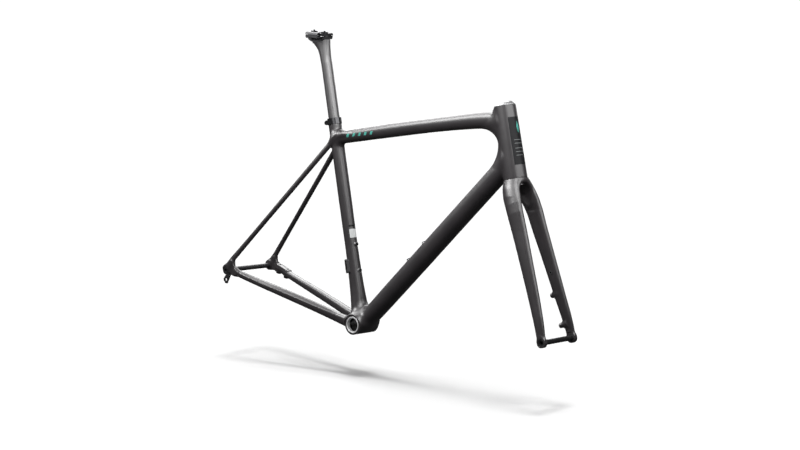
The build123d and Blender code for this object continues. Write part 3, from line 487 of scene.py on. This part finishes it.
def hanger_room(p):
    """Space in the right dropout's outer face for the derailleur hanger."""
    x, z = p[:, 0], p[:, 2]
    screw = (HANGER_SCREW[0], HANGER_SCREW[2])
    flat = np.minimum(
        round_cone_2d(x, z, (REAR_AXLE[0], REAR_AXLE[2]), screw, 9.7, 4.7),
        round_cone_2d(x, z, screw, (HANGER_HOLE[0], HANGER_HOLE[2]), 4.7, 7.5),
    )
    return np.maximum(flat, p[:, 1] - HANGER_FACE)


# Three bores in the head tube, one in the shell, the collar's slot and three for the rear axle.
frame_bores = [
    bar(HEAD_TOP + STEER_UP * 3, -STEER_UP, 20.9, 11),
    bar(HEAD_TOP, -STEER_UP, 18.5, HEAD_LENGTH),
    bar(steer_point(HEAD_LENGTH - 8), -STEER_UP, 24.0, 12),
    bar(LEFT * -50, LEFT, 20.02, 100),
    bar(SEAT_UP * (COLLAR_BOTTOM - 2), -LEFT, 2.4, 24),
    bar(REAR_AXLE - LEFT * 90, LEFT, 8.0, 30),
    bar(REAR_AXLE + LEFT * 60, LEFT, 6.0, 30),
    bar(REAR_AXLE + LEFT * 75.5, LEFT, 9.3, 12),
    hanger_room,
    chain_port,
    down_port,
    *brake_holes,
]


HEAD_RADIUS, HEAD_TAPER, HEAD_OVERRUN = 25.0, 2.0, 6.0
FACE_LEFT, FACE_RIGHT = 81.4, 80.8
SHELL_FACE_RADIUS, CROWN_ROOM_RADIUS, CROWN_ROOM_SLOPE = 25.0, 29.5, 1.2


def frame_field(p):
    """The main frame: every tube blended with its neighbours, less its bores and flat faces."""
    below = (p - HEAD_TOP) @ -STEER_UP
    fore = (p - HEAD_TOP) @ STEER_FRONT
    side = np.abs(p[:, 1])
    rho = np.hypot(fore, side)
    head = rho - (HEAD_RADIUS + HEAD_TAPER * np.clip(below, 0, HEAD_LENGTH) / HEAD_LENGTH)
    head = np.maximum(head, np.maximum(-below, below - HEAD_LENGTH - HEAD_OVERRUN))
    top, down, seat = top_field(p), down_field(p), seat_field(p)

    # Fillets behind the head tube are deepest in the middle plane and fade towards the tubes' sides.
    behind = ramp(-fore, -6, 14)
    centred = np.clip(1 - (side / 24) ** 2, 0, 1)
    under_top = ramp((p - TOP_FRONT) @ -TOP_UP, -14, 10)
    over_down = ramp((p - DOWN_FOOT) @ DOWN_TOP_SIDE, -12, 12)
    k_top = 0.5 + behind * (12 + under_top * (5 + 38 * centred))
    k_down = 0.5 + behind * (7 + over_down * (10 + 26 * centred))
    body = blend_min(blend_min(head, top, k_top), down, k_down)
    body = blend_min(body, seat, 11.0 + 16.0 * ramp(-p[:, 2], -110, -50))
    over_stay = ramp((p - STAY_TOP) @ np.cross(STAY_RUN, LEFT), -4, 4)
    body = blend_min(body, stay_field(p), 12.0 - 7.0 * over_stay)
    body = np.minimum(body, collar_seat_field(p))
    rear = blend_min(plate_field(p), chain_field(p), 9.0)
    under_bb = ramp(-p[:, 2], -6, 10)
    body = blend_min(body, shell_field(p), 19.0 - 10.0 * under_bb)
    body = blend_min(body, rear, 10.0 - 4.0 * under_bb)
    body = blend_min(body, brake_pad(p), 5.0)
    for boss in brake_bosses:
        body = blend_min(body, boss(p), 4.0)

    # Faces that stay flat: dropouts, both ends of the shell, the head tube's foot, pads and bosses.
    body = np.maximum(body, np.maximum(p[:, 1] - FACE_LEFT, -p[:, 1] - FACE_RIGHT))
    from_bb = np.hypot(p[:, 0], p[:, 2])
    body = carve(body, np.maximum(from_bb - SHELL_FACE_RADIUS, SHELL_HALF - side))
    under_head = below - HEAD_LENGTH
    body = carve(body, np.maximum(-under_head, rho - CROWN_ROOM_RADIUS - CROWN_ROOM_SLOPE * under_head))
    for point in REAR_BRAKE:
        along = np.abs((p - point) @ CHAIN_RUN)
        height = (p - point) @ BRAKE_UP
        near = np.maximum(along - 10, np.abs((p - point) @ BRAKE_SIDE) - 9)
        body = carve(body, np.maximum(near, np.maximum(PAD_TOP - height, height - 20)))
        body = carve(body, np.maximum(near, np.maximum(height - BOSS_BOTTOM, -20 - height)))
    for bore in frame_bores:
        body = carve(body, bore(p))
    return body


# ---------------------------------------------------------------- fork's field

# Depth under the head tube, distance ahead of the steering axis and out to the side, then half width
# and half depth of the leg.
LEG_LINE = [
    (58.0, 9.0, 32.9, 11.2, 22.2),
    (120.0, 18.2, 37.0, 10.0, 19.6),
    (200.0, 29.2, 42.2, 9.2, 16.6),
    (280.0, 39.6, 47.5, 8.0, 14.2),
    (335.0, 46.0, 52.4, 6.6, 12.4),
]
AXLE_BELOW = (HEAD_TOP - FRONT_AXLE) @ STEER_UP
AXLE_FORE = (FRONT_AXLE - HEAD_TOP) @ STEER_FRONT
TIP_INNER, TIP_OUTER = 50.0, 59.5

leg_rows = [
    (steer_point(HEAD_LENGTH + 6, 0.0, 13.0), 11.5, 21.0),
    (steer_point(HEAD_LENGTH + 20, 1.6, 20.5), 12.6, 23.4),
    (steer_point(HEAD_LENGTH + 38, 4.6, 27.6), 12.0, 23.8),
    *[(steer_point(HEAD_LENGTH + drop, fore, out), a, b) for drop, fore, out, a, b in LEG_LINE],
    (steer_point(AXLE_BELOW - 6, AXLE_FORE - 0.8, (TIP_INNER + TIP_OUTER) / 2), 4.75, 11.2),
]
LEG_POWER, CROWN_POWER = 2.25, 2.3
leg_field = both_sides(leg_rows, LEG_POWER)
LEG_RUN = unit(steer_point(HEAD_LENGTH + 335, 46.0) - steer_point(HEAD_LENGTH + 200, 29.4))
LEG_BACK = vec(LEG_RUN[2], 0, -LEG_RUN[0])
LOWER_BOSS = steer_point(HEAD_LENGTH + 337, 45.5, 51.5)
FRONT_BRAKE = [LOWER_BOSS - LEG_RUN * 70 - LEFT * 4.5, LOWER_BOSS - LEFT * 0.5]
BOSS_REACH = 21.5
fork_bosses = [bar(point, LEG_BACK, 6.3, BOSS_REACH) for point in FRONT_BRAKE]
# Holes for the brake's inserts, the axle's bores, the hose's port and the steerer's socket.
fork_bores = [
    *[bar(point + LEG_BACK * (BOSS_REACH - 13), LEG_BACK, 4.0, 20) for point in FRONT_BRAKE],
    bar(FRONT_AXLE - LEFT * 70, LEFT, 8.6, 30),
    bar(FRONT_AXLE + LEFT * 40, LEFT, 8.6, 30),
    bar(steer_point(HEAD_LENGTH + 219, 32.2, 41.6), -LEFT, PORT_RADIUS, 12),
    bar(steer_point(CROWN_TOP + 60), STEER_UP, 10.0, 59),
    bar(steer_point(CROWN_TOP + 15), STEER_UP, 17.45, 20),
]

# The crown's half width and half depth at depths below the head tube's top, and how far forward it is.
CROWN_BELOW = (166.0, 176.0, 186.0, 204.0, 223.0, 240.0)
CROWN_WIDTH = (26.4, 31.0, 35.2, 38.8, 37.0, 32.0)
CROWN_DEPTH = (26.4, 26.4, 26.0, 23.8, 17.0, 9.0)
CROWN_SHIFT_BELOW, CROWN_SHIFT = (166.0, 186.0, 223.0), (0.0, 1.5, 7.4)
CROWN_CORE = 1e-2
ARCH_RADIUS = 21.7
ARCH_BELOW = HEAD_LENGTH + 41
TIP_RADIUS, TIP_ROOM = 11.4, 14.5


def fork_field(p):
    """The fork: crown and legs in one, less the arch over the wheel, the hub's room and the bores."""
    below = (p - HEAD_TOP) @ -STEER_UP
    fore = (p - HEAD_TOP) @ STEER_FRONT
    side = np.abs(p[:, 1])
    width = np.interp(below, CROWN_BELOW, CROWN_WIDTH)
    depth = np.interp(below, CROWN_BELOW, CROWN_DEPTH)
    shift = np.interp(below, CROWN_SHIFT_BELOW, CROWN_SHIFT)
    u, v = side / width, (fore - shift) / depth
    ratio = (u**CROWN_POWER + np.abs(v) ** CROWN_POWER) ** (1 / CROWN_POWER)
    crown = np.hypot(side, fore - shift) * (1 - 1 / np.maximum(ratio, CROWN_CORE))
    crown = blend_max(crown, below - 236, 16.0)
    legs = leg_field(p)
    spring = ARCH_BELOW - 7.0 * ramp(fore, -12, 26)
    arch = np.hypot(np.minimum(below - spring, 0), side) - ARCH_RADIUS
    arch -= np.interp(below, (ARCH_BELOW + 34, ARCH_BELOW + 60), (0, -22))
    body = blend_max(blend_min(crown, legs, 7.0), -arch, 9.0)
    body = np.maximum(body, CROWN_TOP - below)
    from_axle = np.hypot(p[:, 0] - FRONT_AXLE[0], p[:, 2] - FRONT_AXLE[2])
    tip = np.maximum(from_axle - TIP_RADIUS, np.maximum(TIP_INNER - side, side - TIP_OUTER))
    body = blend_min(body, tip, 7.0)
    for boss in fork_bosses:
        body = blend_min(body, boss(p), 6.0)
    body = carve(body, np.maximum(from_axle - TIP_ROOM, side - TIP_INNER))
    body = np.maximum(body, side - TIP_OUTER)
    for point in FRONT_BRAKE:
        out = (p - point) @ LEG_BACK
        near = np.abs((p - point) @ LEG_RUN) - 9
        body = carve(body, np.maximum(near, BOSS_REACH - out))
    for bore in fork_bores:
        body = carve(body, bore(p))
    return body


# ---------------------------------------------------------------- skins

SKIN_STEP = 1.6
FORK_STEP = SKIN_STEP * 0.85
FRAME_ROOM = (-430, -96, -45), (475, 96, 600)
FORK_ROOM = (390, -80, 40), (620, 80, 430)

frame_skin = smooth_mesh("frame_skin", *contour(frame_field, *FRAME_ROOM, SKIN_STEP))
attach(frame_skin, "frame")
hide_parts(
    "head_tube", "top_tube", "down_tube", "seat_tube", "bottom_bracket_shell",
    "right_chainstay", "left_chainstay", "right_seatstay", "left_seatstay",
    "right_dropout", "left_dropout",
)

fork_skin = smooth_mesh("fork_skin", *contour(fork_field, *FORK_ROOM, FORK_STEP))
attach(fork_skin, "fork")
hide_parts("fork_crown", "right_fork_leg", "left_fork_leg")

# ---------------------------------------------------------------- printed films on the frame

FILM_DEPTH = 0.06
FILM_STEPS = 6
FILM_LIFT, DASH_LIFT, DETAIL_LIFT = 0.10, 0.12, 0.16
HEAD_REACH, SEAT_REACH, TOP_REACH = 26, 15.6, 16


def film(name, place, columns, rows, lift):
    """Thin closed film on the main frame. place() guesses a point from a, b in -1 to 1."""
    a, b = np.meshgrid(np.linspace(-1, 1, columns), np.linspace(-1, 1, rows), indexing="ij")
    points = place(a.ravel()[:, None], b.ravel()[:, None])
    for _ in range(FILM_STEPS):
        points = points - gradient(frame_field, points) * evaluate(frame_field, points)[:, None]
    normal = gradient(frame_field, points)
    vertices = np.concatenate([points + normal * lift, points - normal * FILM_DEPTH])
    number = np.arange(columns * rows).reshape(columns, rows)
    top = np.stack([number[:-1, :-1], number[1:, :-1], number[1:, 1:], number[:-1, 1:]], -1)
    top = top.reshape(-1, 4)
    rim = np.concatenate([number[:-1, 0], number[-1, :-1], number[:0:-1, -1], number[0, :0:-1]])
    first = vertices[top[0]]
    if np.cross(first[1] - first[0], first[2] - first[0]) @ normal[top[0, 0]] < 0:
        top, rim = top[:, ::-1], rim[::-1]
    after = np.roll(rim, -1)
    wall = np.stack([after, rim, rim + len(points), after + len(points)], -1)
    obj = smooth_mesh(name, vertices, np.concatenate([top, top[:, ::-1] + len(points), wall]))
    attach(obj, "frame")
    return obj


def on_head(below, turn):
    """Point on the head tube's front. The turn in degrees runs towards the right side."""
    turn = np.radians(turn)
    return HEAD_TOP - STEER_UP * below + (STEER_FRONT * np.cos(turn) - LEFT * np.sin(turn)) * HEAD_REACH


def on_seat(height, turn):
    """Point on the seat tube, turned from its front like on_head."""
    turn = np.radians(turn)
    return SEAT_UP * height + (SEAT_FRONT * np.cos(turn) - LEFT * np.sin(turn)) * SEAT_REACH


def on_top(along, height, side):
    """Point on a side of the top tube."""
    return TOP_REAR + TOP_RUN * along + TOP_UP * height + LEFT * side * TOP_REACH


dark_films = [
    film("head_panel", lambda a, b: on_head(82 + 54 * b, 46 * a), 31, 37, FILM_LIFT),
    film("seat_band", lambda a, b: on_seat(238 + 2 * b, 7 + 41 * a), 21, 3, FILM_LIFT),
]
teal_films = [
    film(
        "head_lozenge", lambda a, b: on_head(51 + 13 * b, 9 * a * (1 - 0.9 * abs(b)) - 4),
        9, 13, DETAIL_LIFT,
    ),
]
for side, label in ((-1, "right"), (1, "left")):
    for index in range(5):
        middle = 52 + 19 * index
        teal_films.append(film(
            f"top_dash_{label}_{index + 1}",
            lambda a, b: on_top(middle + 3.6 * a + 2.0 * b, 3.0 + 4.0 * b, side), 9, 7, DASH_LIFT,
        ))
pale_films = [
    film("seat_label", lambda a, b: on_seat(219.5 + 10.5 * b, 7 + 41 * a), 21, 9, FILM_LIFT),
]
fine_films = [
    film(
        f"head_line_{index + 1}", lambda a, b: on_head(below + 0.45 * b, 24 * a + 6),
        15, 3, DETAIL_LIFT,
    )
    for index, below in enumerate((80, 88, 99, 107, 115))
]

# ---------------------------------------------------------------- saddle clamp's bolts

CLAMP_BOLT_X = (-222.5, -187.5)
BOLT_HEAD = (658.4, 660.2)
BOLT_TIP = 692.5
BOLT_ROOM = (-230, -6, 655), (-180, 6, 696)
BOLT_STEP = 0.6


def bolt_field(p):
    """Both bolts, upright, with a socket in each head's underside."""
    body = np.full(len(p), FAR)
    for x in CLAMP_BOLT_X:
        head = bar(vec(x, 0, BOLT_HEAD[0]), UP, 2.4, BOLT_HEAD[1] - BOLT_HEAD[0])
        shank = bar(vec(x, 0, BOLT_HEAD[1] - 1), UP, 2.2, BOLT_TIP - BOLT_HEAD[1] + 1)
        socket = bar(vec(x, 0, BOLT_HEAD[0] - 1), UP, 1.7, 2.0)
        body = np.minimum(body, carve(np.minimum(head(p), shank(p)), socket(p)))
    return body


clamp_bolts = smooth_mesh("saddle_bolts", *contour(bolt_field, *BOLT_ROOM, BOLT_STEP))
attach(clamp_bolts, "saddle_clamp")
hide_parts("clamp_bolts")

# ---------------------------------------------------------------- materials


class Shader:
    """Node material built step by step round one Principled BSDF."""

    def __init__(self, name, **inputs):
        self.material = bpy.data.materials.new(name)
        self.material.use_nodes = True
        self.tree = self.material.node_tree
        self.bsdf = self.tree.nodes["Principled BSDF"]
        for key, value in inputs.items():
            self.bsdf.inputs[key.replace("_", " ")].default_value = value
        self.place = self.tree.nodes.new("ShaderNodeTexCoord").outputs["Object"]

    def node(self, kind, **settings):
        made = self.tree.nodes.new("ShaderNode" + kind)
        for key, value in settings.items():
            setattr(made, key, value)
        return made

    def link(self, source, target):
        self.tree.links.new(source, target)

    def noise(self, scale, detail, stretch=None):
        made = self.node("TexNoise")
        made.inputs["Scale"].default_value = scale
        made.inputs["Detail"].default_value = detail
        source = self.place
        if stretch:
            mapping = self.node("Mapping")
            mapping.inputs["Scale"].default_value = stretch
            self.link(source, mapping.inputs["Vector"])
            source = mapping.outputs["Vector"]
        self.link(source, made.inputs["Vector"])
        return made.outputs["Fac"]

    def span(self, source, low, high, start=0.0, end=1.0):
        made = self.node("MapRange")
        made.inputs["From Min"].default_value = start
        made.inputs["From Max"].default_value = end
        made.inputs["To Min"].default_value = low
        made.inputs["To Max"].default_value = high
        self.link(source, made.inputs["Value"])
        return made.outputs["Result"]

    def math(self, operation, *values):
        made = self.node("Math", operation=operation)
        for socket, value in zip(made.inputs, values):
            if isinstance(value, (int, float)):
                socket.default_value = value
            else:
                self.link(value, socket)
        return made.outputs["Value"]

    def mix(self, factor, first, second):
        made = self.node("Mix", data_type="RGBA")
        self.link(factor, made.inputs["Factor"])
        for key, value in (("A", first), ("B", second)):
            socket = next(s for s in made.inputs if s.name == key and s.type == "RGBA")
            if isinstance(value, tuple):
                socket.default_value = (*value, 1.0)
            else:
                self.link(value, socket)
        return next(s for s in made.outputs if s.type == "RGBA")

    def colour(self, source):
        self.link(source, self.bsdf.inputs["Base Color"])

    def roughness(self, source):
        self.link(source, self.bsdf.inputs["Roughness"])

    def bump(self, source, strength, distance):
        made = self.node("Bump")
        made.inputs["Strength"].default_value = strength
        made.inputs["Distance"].default_value = distance
        self.link(source, made.inputs["Height"])
        last = self.bsdf.inputs["Normal"]
        if last.is_linked:
            self.link(last.links[0].from_socket, made.inputs["Normal"])
        self.link(made.outputs["Normal"], last)


def carbon(name, dark, light, rough, ior):
    """Satin lacquer over carbon: faint overlapping plies, short fibre streaks and a fine mottle."""
    s = Shader(name, Coat_Weight=0.25, Coat_Roughness=0.3, IOR=ior)
    mottle = s.noise(24, 4)
    streak = s.noise(55, 3, stretch=(1, 1, 9))
    fine = s.noise(900, 2)
    plies = s.node("TexVoronoi", feature="F1", distance="CHEBYCHEV")
    plies.inputs["Scale"].default_value = 11
    s.link(s.place, plies.inputs["Vector"])
    patch = s.node("SeparateColor")
    s.link(plies.outputs["Color"], patch.inputs["Color"])
    ply_tone = s.math("MULTIPLY", patch.outputs["Red"], 0.12)
    tone = s.math("ADD", s.math("MULTIPLY", streak, 0.3), ply_tone)
    s.colour(s.mix(s.math("ADD", s.math("MULTIPLY", mottle, 0.45), tone), dark, light))
    ply_gloss = s.span(patch.outputs["Green"], -0.004, 0.004)
    uneven = s.math("ADD", s.span(mottle, -0.035, 0.035), ply_gloss)
    s.roughness(s.math("ADD", s.math("ADD", uneven, s.span(streak, -0.02, 0.02)), rough))
    s.bump(s.noise(9, 2), 0.12, 0.0006)
    s.bump(fine, 0.05, 0.00005)
    return s.material


TOOL_MARKS = 400
THREAD_PITCH = 0.00106


def metal(name, dark, light, rough, metallic=1.0):
    """Machined or anodised metal with fine tool marks and worn tone."""
    s = Shader(name, Metallic=metallic)
    tone = s.noise(60, 4)
    marks = s.noise(TOOL_MARKS, 2, stretch=(1, 6, 1))
    s.colour(s.mix(s.math("MULTIPLY", s.math("ADD", tone, marks), 0.5), dark, light))
    s.roughness(s.span(s.math("ADD", tone, marks), rough - 0.07, rough + 0.07, 0.5, 1.5))
    s.bump(marks, 0.08, 0.00005)
    return s.material


def threaded_with_painted_shade(name, bore):
    """Silver alloy with thread bumps in the bore, where the colour is painted near black as shade
    behind the bright mouth.
    """
    s = Shader(name, Metallic=1.0)
    split = s.node("SeparateXYZ")
    s.link(s.place, split.inputs["Vector"])
    squares = [s.math("MULTIPLY", split.outputs[axis], split.outputs[axis]) for axis in ("X", "Z")]
    radius = s.math("SQRT", s.math("ADD", *squares))
    deep = s.math("LESS_THAN", s.math("ABSOLUTE", split.outputs["Y"]), 25 * MM)
    inside = s.math("MULTIPLY", s.math("LESS_THAN", radius, bore * MM), deep)
    tone = s.mix(s.noise(60, 4), (0.82, 0.82, 0.83), (0.95, 0.95, 0.96))
    # Painted shade: inside the bore's radius the colour is near black, standing in for the dark inside
    # the bore.
    s.colour(s.mix(inside, tone, (0.006, 0.006, 0.006)))
    s.roughness(s.span(s.noise(TOOL_MARKS, 2, stretch=(1, 6, 1)), 0.42, 0.56))
    wave = s.math("SINE", s.math("MULTIPLY", split.outputs["Y"], 2 * math.pi / THREAD_PITCH))
    s.bump(s.math("MULTIPLY", wave, inside), 0.5, 0.0003)
    return s.material


def printed(name, colour, rough):
    """Printed film with a slightly uneven ink and a fine grain."""
    s = Shader(name, Specular_IOR_Level=0.15)
    darker = tuple(0.82 * value for value in colour)
    s.colour(s.mix(s.noise(140, 4), darker, colour))
    s.roughness(s.span(s.noise(600, 3), rough - 0.05, rough + 0.05))
    s.bump(s.noise(1500, 2), 0.04, 0.00003)
    return s.material


def rubber(name):
    """Matt black rubber with a fine grain."""
    s = Shader(name, IOR=1.45)
    grain = s.noise(1200, 3)
    s.colour(s.mix(s.noise(80, 3), (0.010, 0.010, 0.011), (0.024, 0.024, 0.025)))
    s.roughness(s.span(grain, 0.62, 0.82))
    s.bump(grain, 0.2, 0.00005)
    return s.material


FRAME_CARBON = carbon("frame_carbon", (0.010, 0.009, 0.0098), (0.028, 0.025, 0.027), 0.36, 1.52)
POST_CARBON = carbon("post_carbon", (0.014, 0.013, 0.014), (0.034, 0.032, 0.034), 0.36, 1.8)
SILVER = metal("silver_alloy", (0.62, 0.62, 0.63), (0.82, 0.82, 0.83), 0.30)
BLACK_ALLOY = metal("black_alloy", (0.012, 0.012, 0.013), (0.035, 0.035, 0.037), 0.46, metallic=0.6)
BLACK_STEEL = metal("black_steel", (0.02, 0.02, 0.021), (0.055, 0.055, 0.058), 0.30, metallic=0.8)
BEARING_STEEL = metal("bearing_steel", (0.45, 0.45, 0.46), (0.62, 0.62, 0.63), 0.2)
RUBBER = rubber("rubber")
THREADED_WITH_SHADE = threaded_with_painted_shade("threaded_alloy_painted_shade", 17.6)
DARK_PRINT = printed("dark_print", (0.004, 0.004, 0.005), 0.42)
TEAL_PRINT = printed("teal_print", (0.05, 0.24, 0.20), 0.45)
PALE_PRINT = printed("pale_print", (0.42, 0.43, 0.43), 0.5)
FINE_PRINT = printed("fine_print", (0.16, 0.17, 0.17), 0.5)
COVER = metal("cover_alloy", (0.34, 0.34, 0.345), (0.48, 0.48, 0.485), 0.42)
POLISHED_BLACK = metal(
    "polished_black", (0.03, 0.03, 0.032), (0.07, 0.07, 0.073), 0.2, metallic=0.85
)

slot_materials = {
    "carbon": POST_CARBON, "silver_alloy": SILVER, "black_alloy": BLACK_ALLOY,
    "black_steel": BLACK_STEEL, "bearing_steel": BEARING_STEEL, "rubber": RUBBER,
}
for part in frame["record"]["subparts"]:
    mesh = nodes[part["node"]].data
    mesh.materials.clear()
    mesh.materials.append(slot_materials[part["material_slot"]])
# The inserts' bores carry painted shade, a near-black colour over their threads.
for name in ("right_bottom_bracket_insert", "left_bottom_bracket_insert"):
    nodes[name].data.materials[0] = THREADED_WITH_SHADE
nodes["bottle_nuts"].data.materials[0] = SILVER
clamp_bolts.data.materials.append(BLACK_STEEL)
for name in ("headset_cover", "top_cap"):
    nodes[name].data.materials[0] = COVER
for name in ("seat_collar", "front_thru_axle"):
    nodes[name].data.materials[0] = POLISHED_BLACK
frame_skin.data.materials.append(FRAME_CARBON)
fork_skin.data.materials.append(FRAME_CARBON)
for films, material in (
    (dark_films, DARK_PRINT), (teal_films, TEAL_PRINT),
    (pale_films, PALE_PRINT), (fine_films, FINE_PRINT),
):
    for obj in films:
        obj.data.materials.append(material)

# ---------------------------------------------------------------- floor, light and camera

FLOOR_HEIGHT = -0.124
FLOOR_TILT = 4.8
FLOOR_GLOW = 0.16
FLOOR_HALF = 300
floor_mesh = bpy.data.meshes.new("floor")
floor_corners = [(x * FLOOR_HALF, y * FLOOR_HALF, 0) for x, y in ((-1, -1), (1, -1), (1, 1), (-1, 1))]
floor_mesh.from_pydata(floor_corners, [], [(0, 1, 2, 3)])
floor = bpy.data.objects.new("floor", floor_mesh)
bpy.context.scene.collection.objects.link(floor)
# White sweep that glows a little. The rest of its light comes from overhead, past the frameset.
floor_shader = Shader("floor_paint", Roughness=1.0)
floor_shader.bsdf.inputs["Base Color"].default_value = (0.8, 0.8, 0.8, 1)
floor_shader.bsdf.inputs["Specular IOR Level"].default_value = 0
floor_shader.bsdf.inputs["Emission Color"].default_value = (1, 1, 1, 1)
grain = floor_shader.span(floor_shader.noise(4, 2), FLOOR_GLOW, FLOOR_GLOW + 0.02)
floor_shader.link(grain, floor_shader.bsdf.inputs["Emission Strength"])
floor_mesh.materials.append(floor_shader.material)
floor.visible_glossy = False
floor.visible_diffuse = False

WORLD_LIGHT, WORLD_SEEN = 0.04, 1.03
world = bpy.data.worlds.new("studio")
bpy.context.scene.world = world
world.use_nodes = True
tree = world.node_tree
path = tree.nodes.new("ShaderNodeLightPath")
choose = tree.nodes.new("ShaderNodeMix")
tree.links.new(path.outputs["Is Camera Ray"], choose.inputs["Factor"])
choose.inputs["A"].default_value = WORLD_LIGHT
choose.inputs["B"].default_value = WORLD_SEEN
tree.links.new(choose.outputs["Result"], tree.nodes["Background"].inputs["Strength"])
tree.nodes["Background"].inputs["Color"].default_value = (1, 1, 1, 1)


def softbox(name, location, target, width, height, power):
    """Rectangular light that faces the target."""
    data = bpy.data.lights.new(name, "AREA")
    data.shape = "RECTANGLE"
    data.size, data.size_y, data.energy = width, height, power
    obj = bpy.data.objects.new(name, data)
    obj.location = location
    obj.rotation_mode = "QUATERNION"
    obj.rotation_quaternion = (Vector(target) - Vector(location)).to_track_quat("-Z", "Y")
    bpy.context.scene.collection.objects.link(obj)


FRAME_MIDDLE = (0.25, 0.0, 0.3)
softbox("key_light", (1.7, 0.0, 1.45), FRAME_MIDDLE, 2.4, 1.2, 48)
softbox("side_light", (0.8, -0.7, 1.5), FRAME_MIDDLE, 0.9, 0.9, 23)
softbox("near_light", (0.2, -0.7, 0.9), FRAME_MIDDLE, 0.7, 0.7, 5)
softbox("rear_light", (-1.7, -1.9, 1.75), (0.43, 0.0, 0.4), 1.5, 1.2, 105)
softbox("far_light", (-0.6, 2.2, 1.2), (0.1, 0.0, 0.6), 2.4, 0.9, 14)
softbox("ceiling_light", (-1.3, 0.45, 1.9), (0.15, 0.0, 0.5), 2.2, 2.2, 120)
beside_floor = bpy.data.collections.new("beside_floor")
beside_floor.objects.link(floor)
beside_floor.collection_objects[0].light_linking.link_state = "EXCLUDE"
for obj in bpy.context.scene.objects:
    if obj.type == "LIGHT":
        obj.light_linking.receiver_collection = beside_floor
only_floor = bpy.data.collections.new("only_floor")
only_floor.objects.link(floor)
for name, strength, spread in (("overhead_core", 1.5, 14), ("overhead_haze", 1.95, 46)):
    overhead = bpy.data.lights.new(name, "SUN")
    overhead.energy, overhead.angle = strength, math.radians(spread)
    overhead_light = bpy.data.objects.new(name, overhead)
    overhead_light.light_linking.receiver_collection = only_floor
    bpy.context.scene.collection.objects.link(overhead_light)

CAMERA_PLACE = (3.0243, -3.3178, 0.9057)
CAMERA_AZIMUTH, CAMERA_ELEVATION, CAMERA_ROLL = 41.39, 8.35, 4.0
CAMERA_LENS, CAMERA_SENSOR = 85, 36
azimuth, elevation = math.radians(CAMERA_AZIMUTH), math.radians(CAMERA_ELEVATION)
view = Vector((
    -math.sin(azimuth) * math.cos(elevation),
    math.cos(azimuth) * math.cos(elevation),
    -math.sin(elevation),
))
lens = bpy.data.cameras.new("camera")
lens.lens, lens.sensor_width = CAMERA_LENS, CAMERA_SENSOR
camera = bpy.data.objects.new("camera", lens)
camera.rotation_mode = "QUATERNION"
camera.location = CAMERA_PLACE
# The frameset hangs nose down over the level floor that the camera stands on.
floor_turn = Matrix.Rotation(math.radians(FLOOR_TILT), 4, -view)
floor.matrix_world = Matrix.Translation((0, 0, FLOOR_HEIGHT)) @ floor_turn
level = view.to_track_quat("-Z", "Y").to_matrix()
roll = Matrix.Rotation(math.radians(CAMERA_ROLL), 3, "Z")
camera.rotation_quaternion = (level @ roll).to_quaternion()
bpy.context.scene.collection.objects.link(camera)
bpy.context.scene.camera = camera
bpy.context.scene.view_settings.view_transform = "Standard"
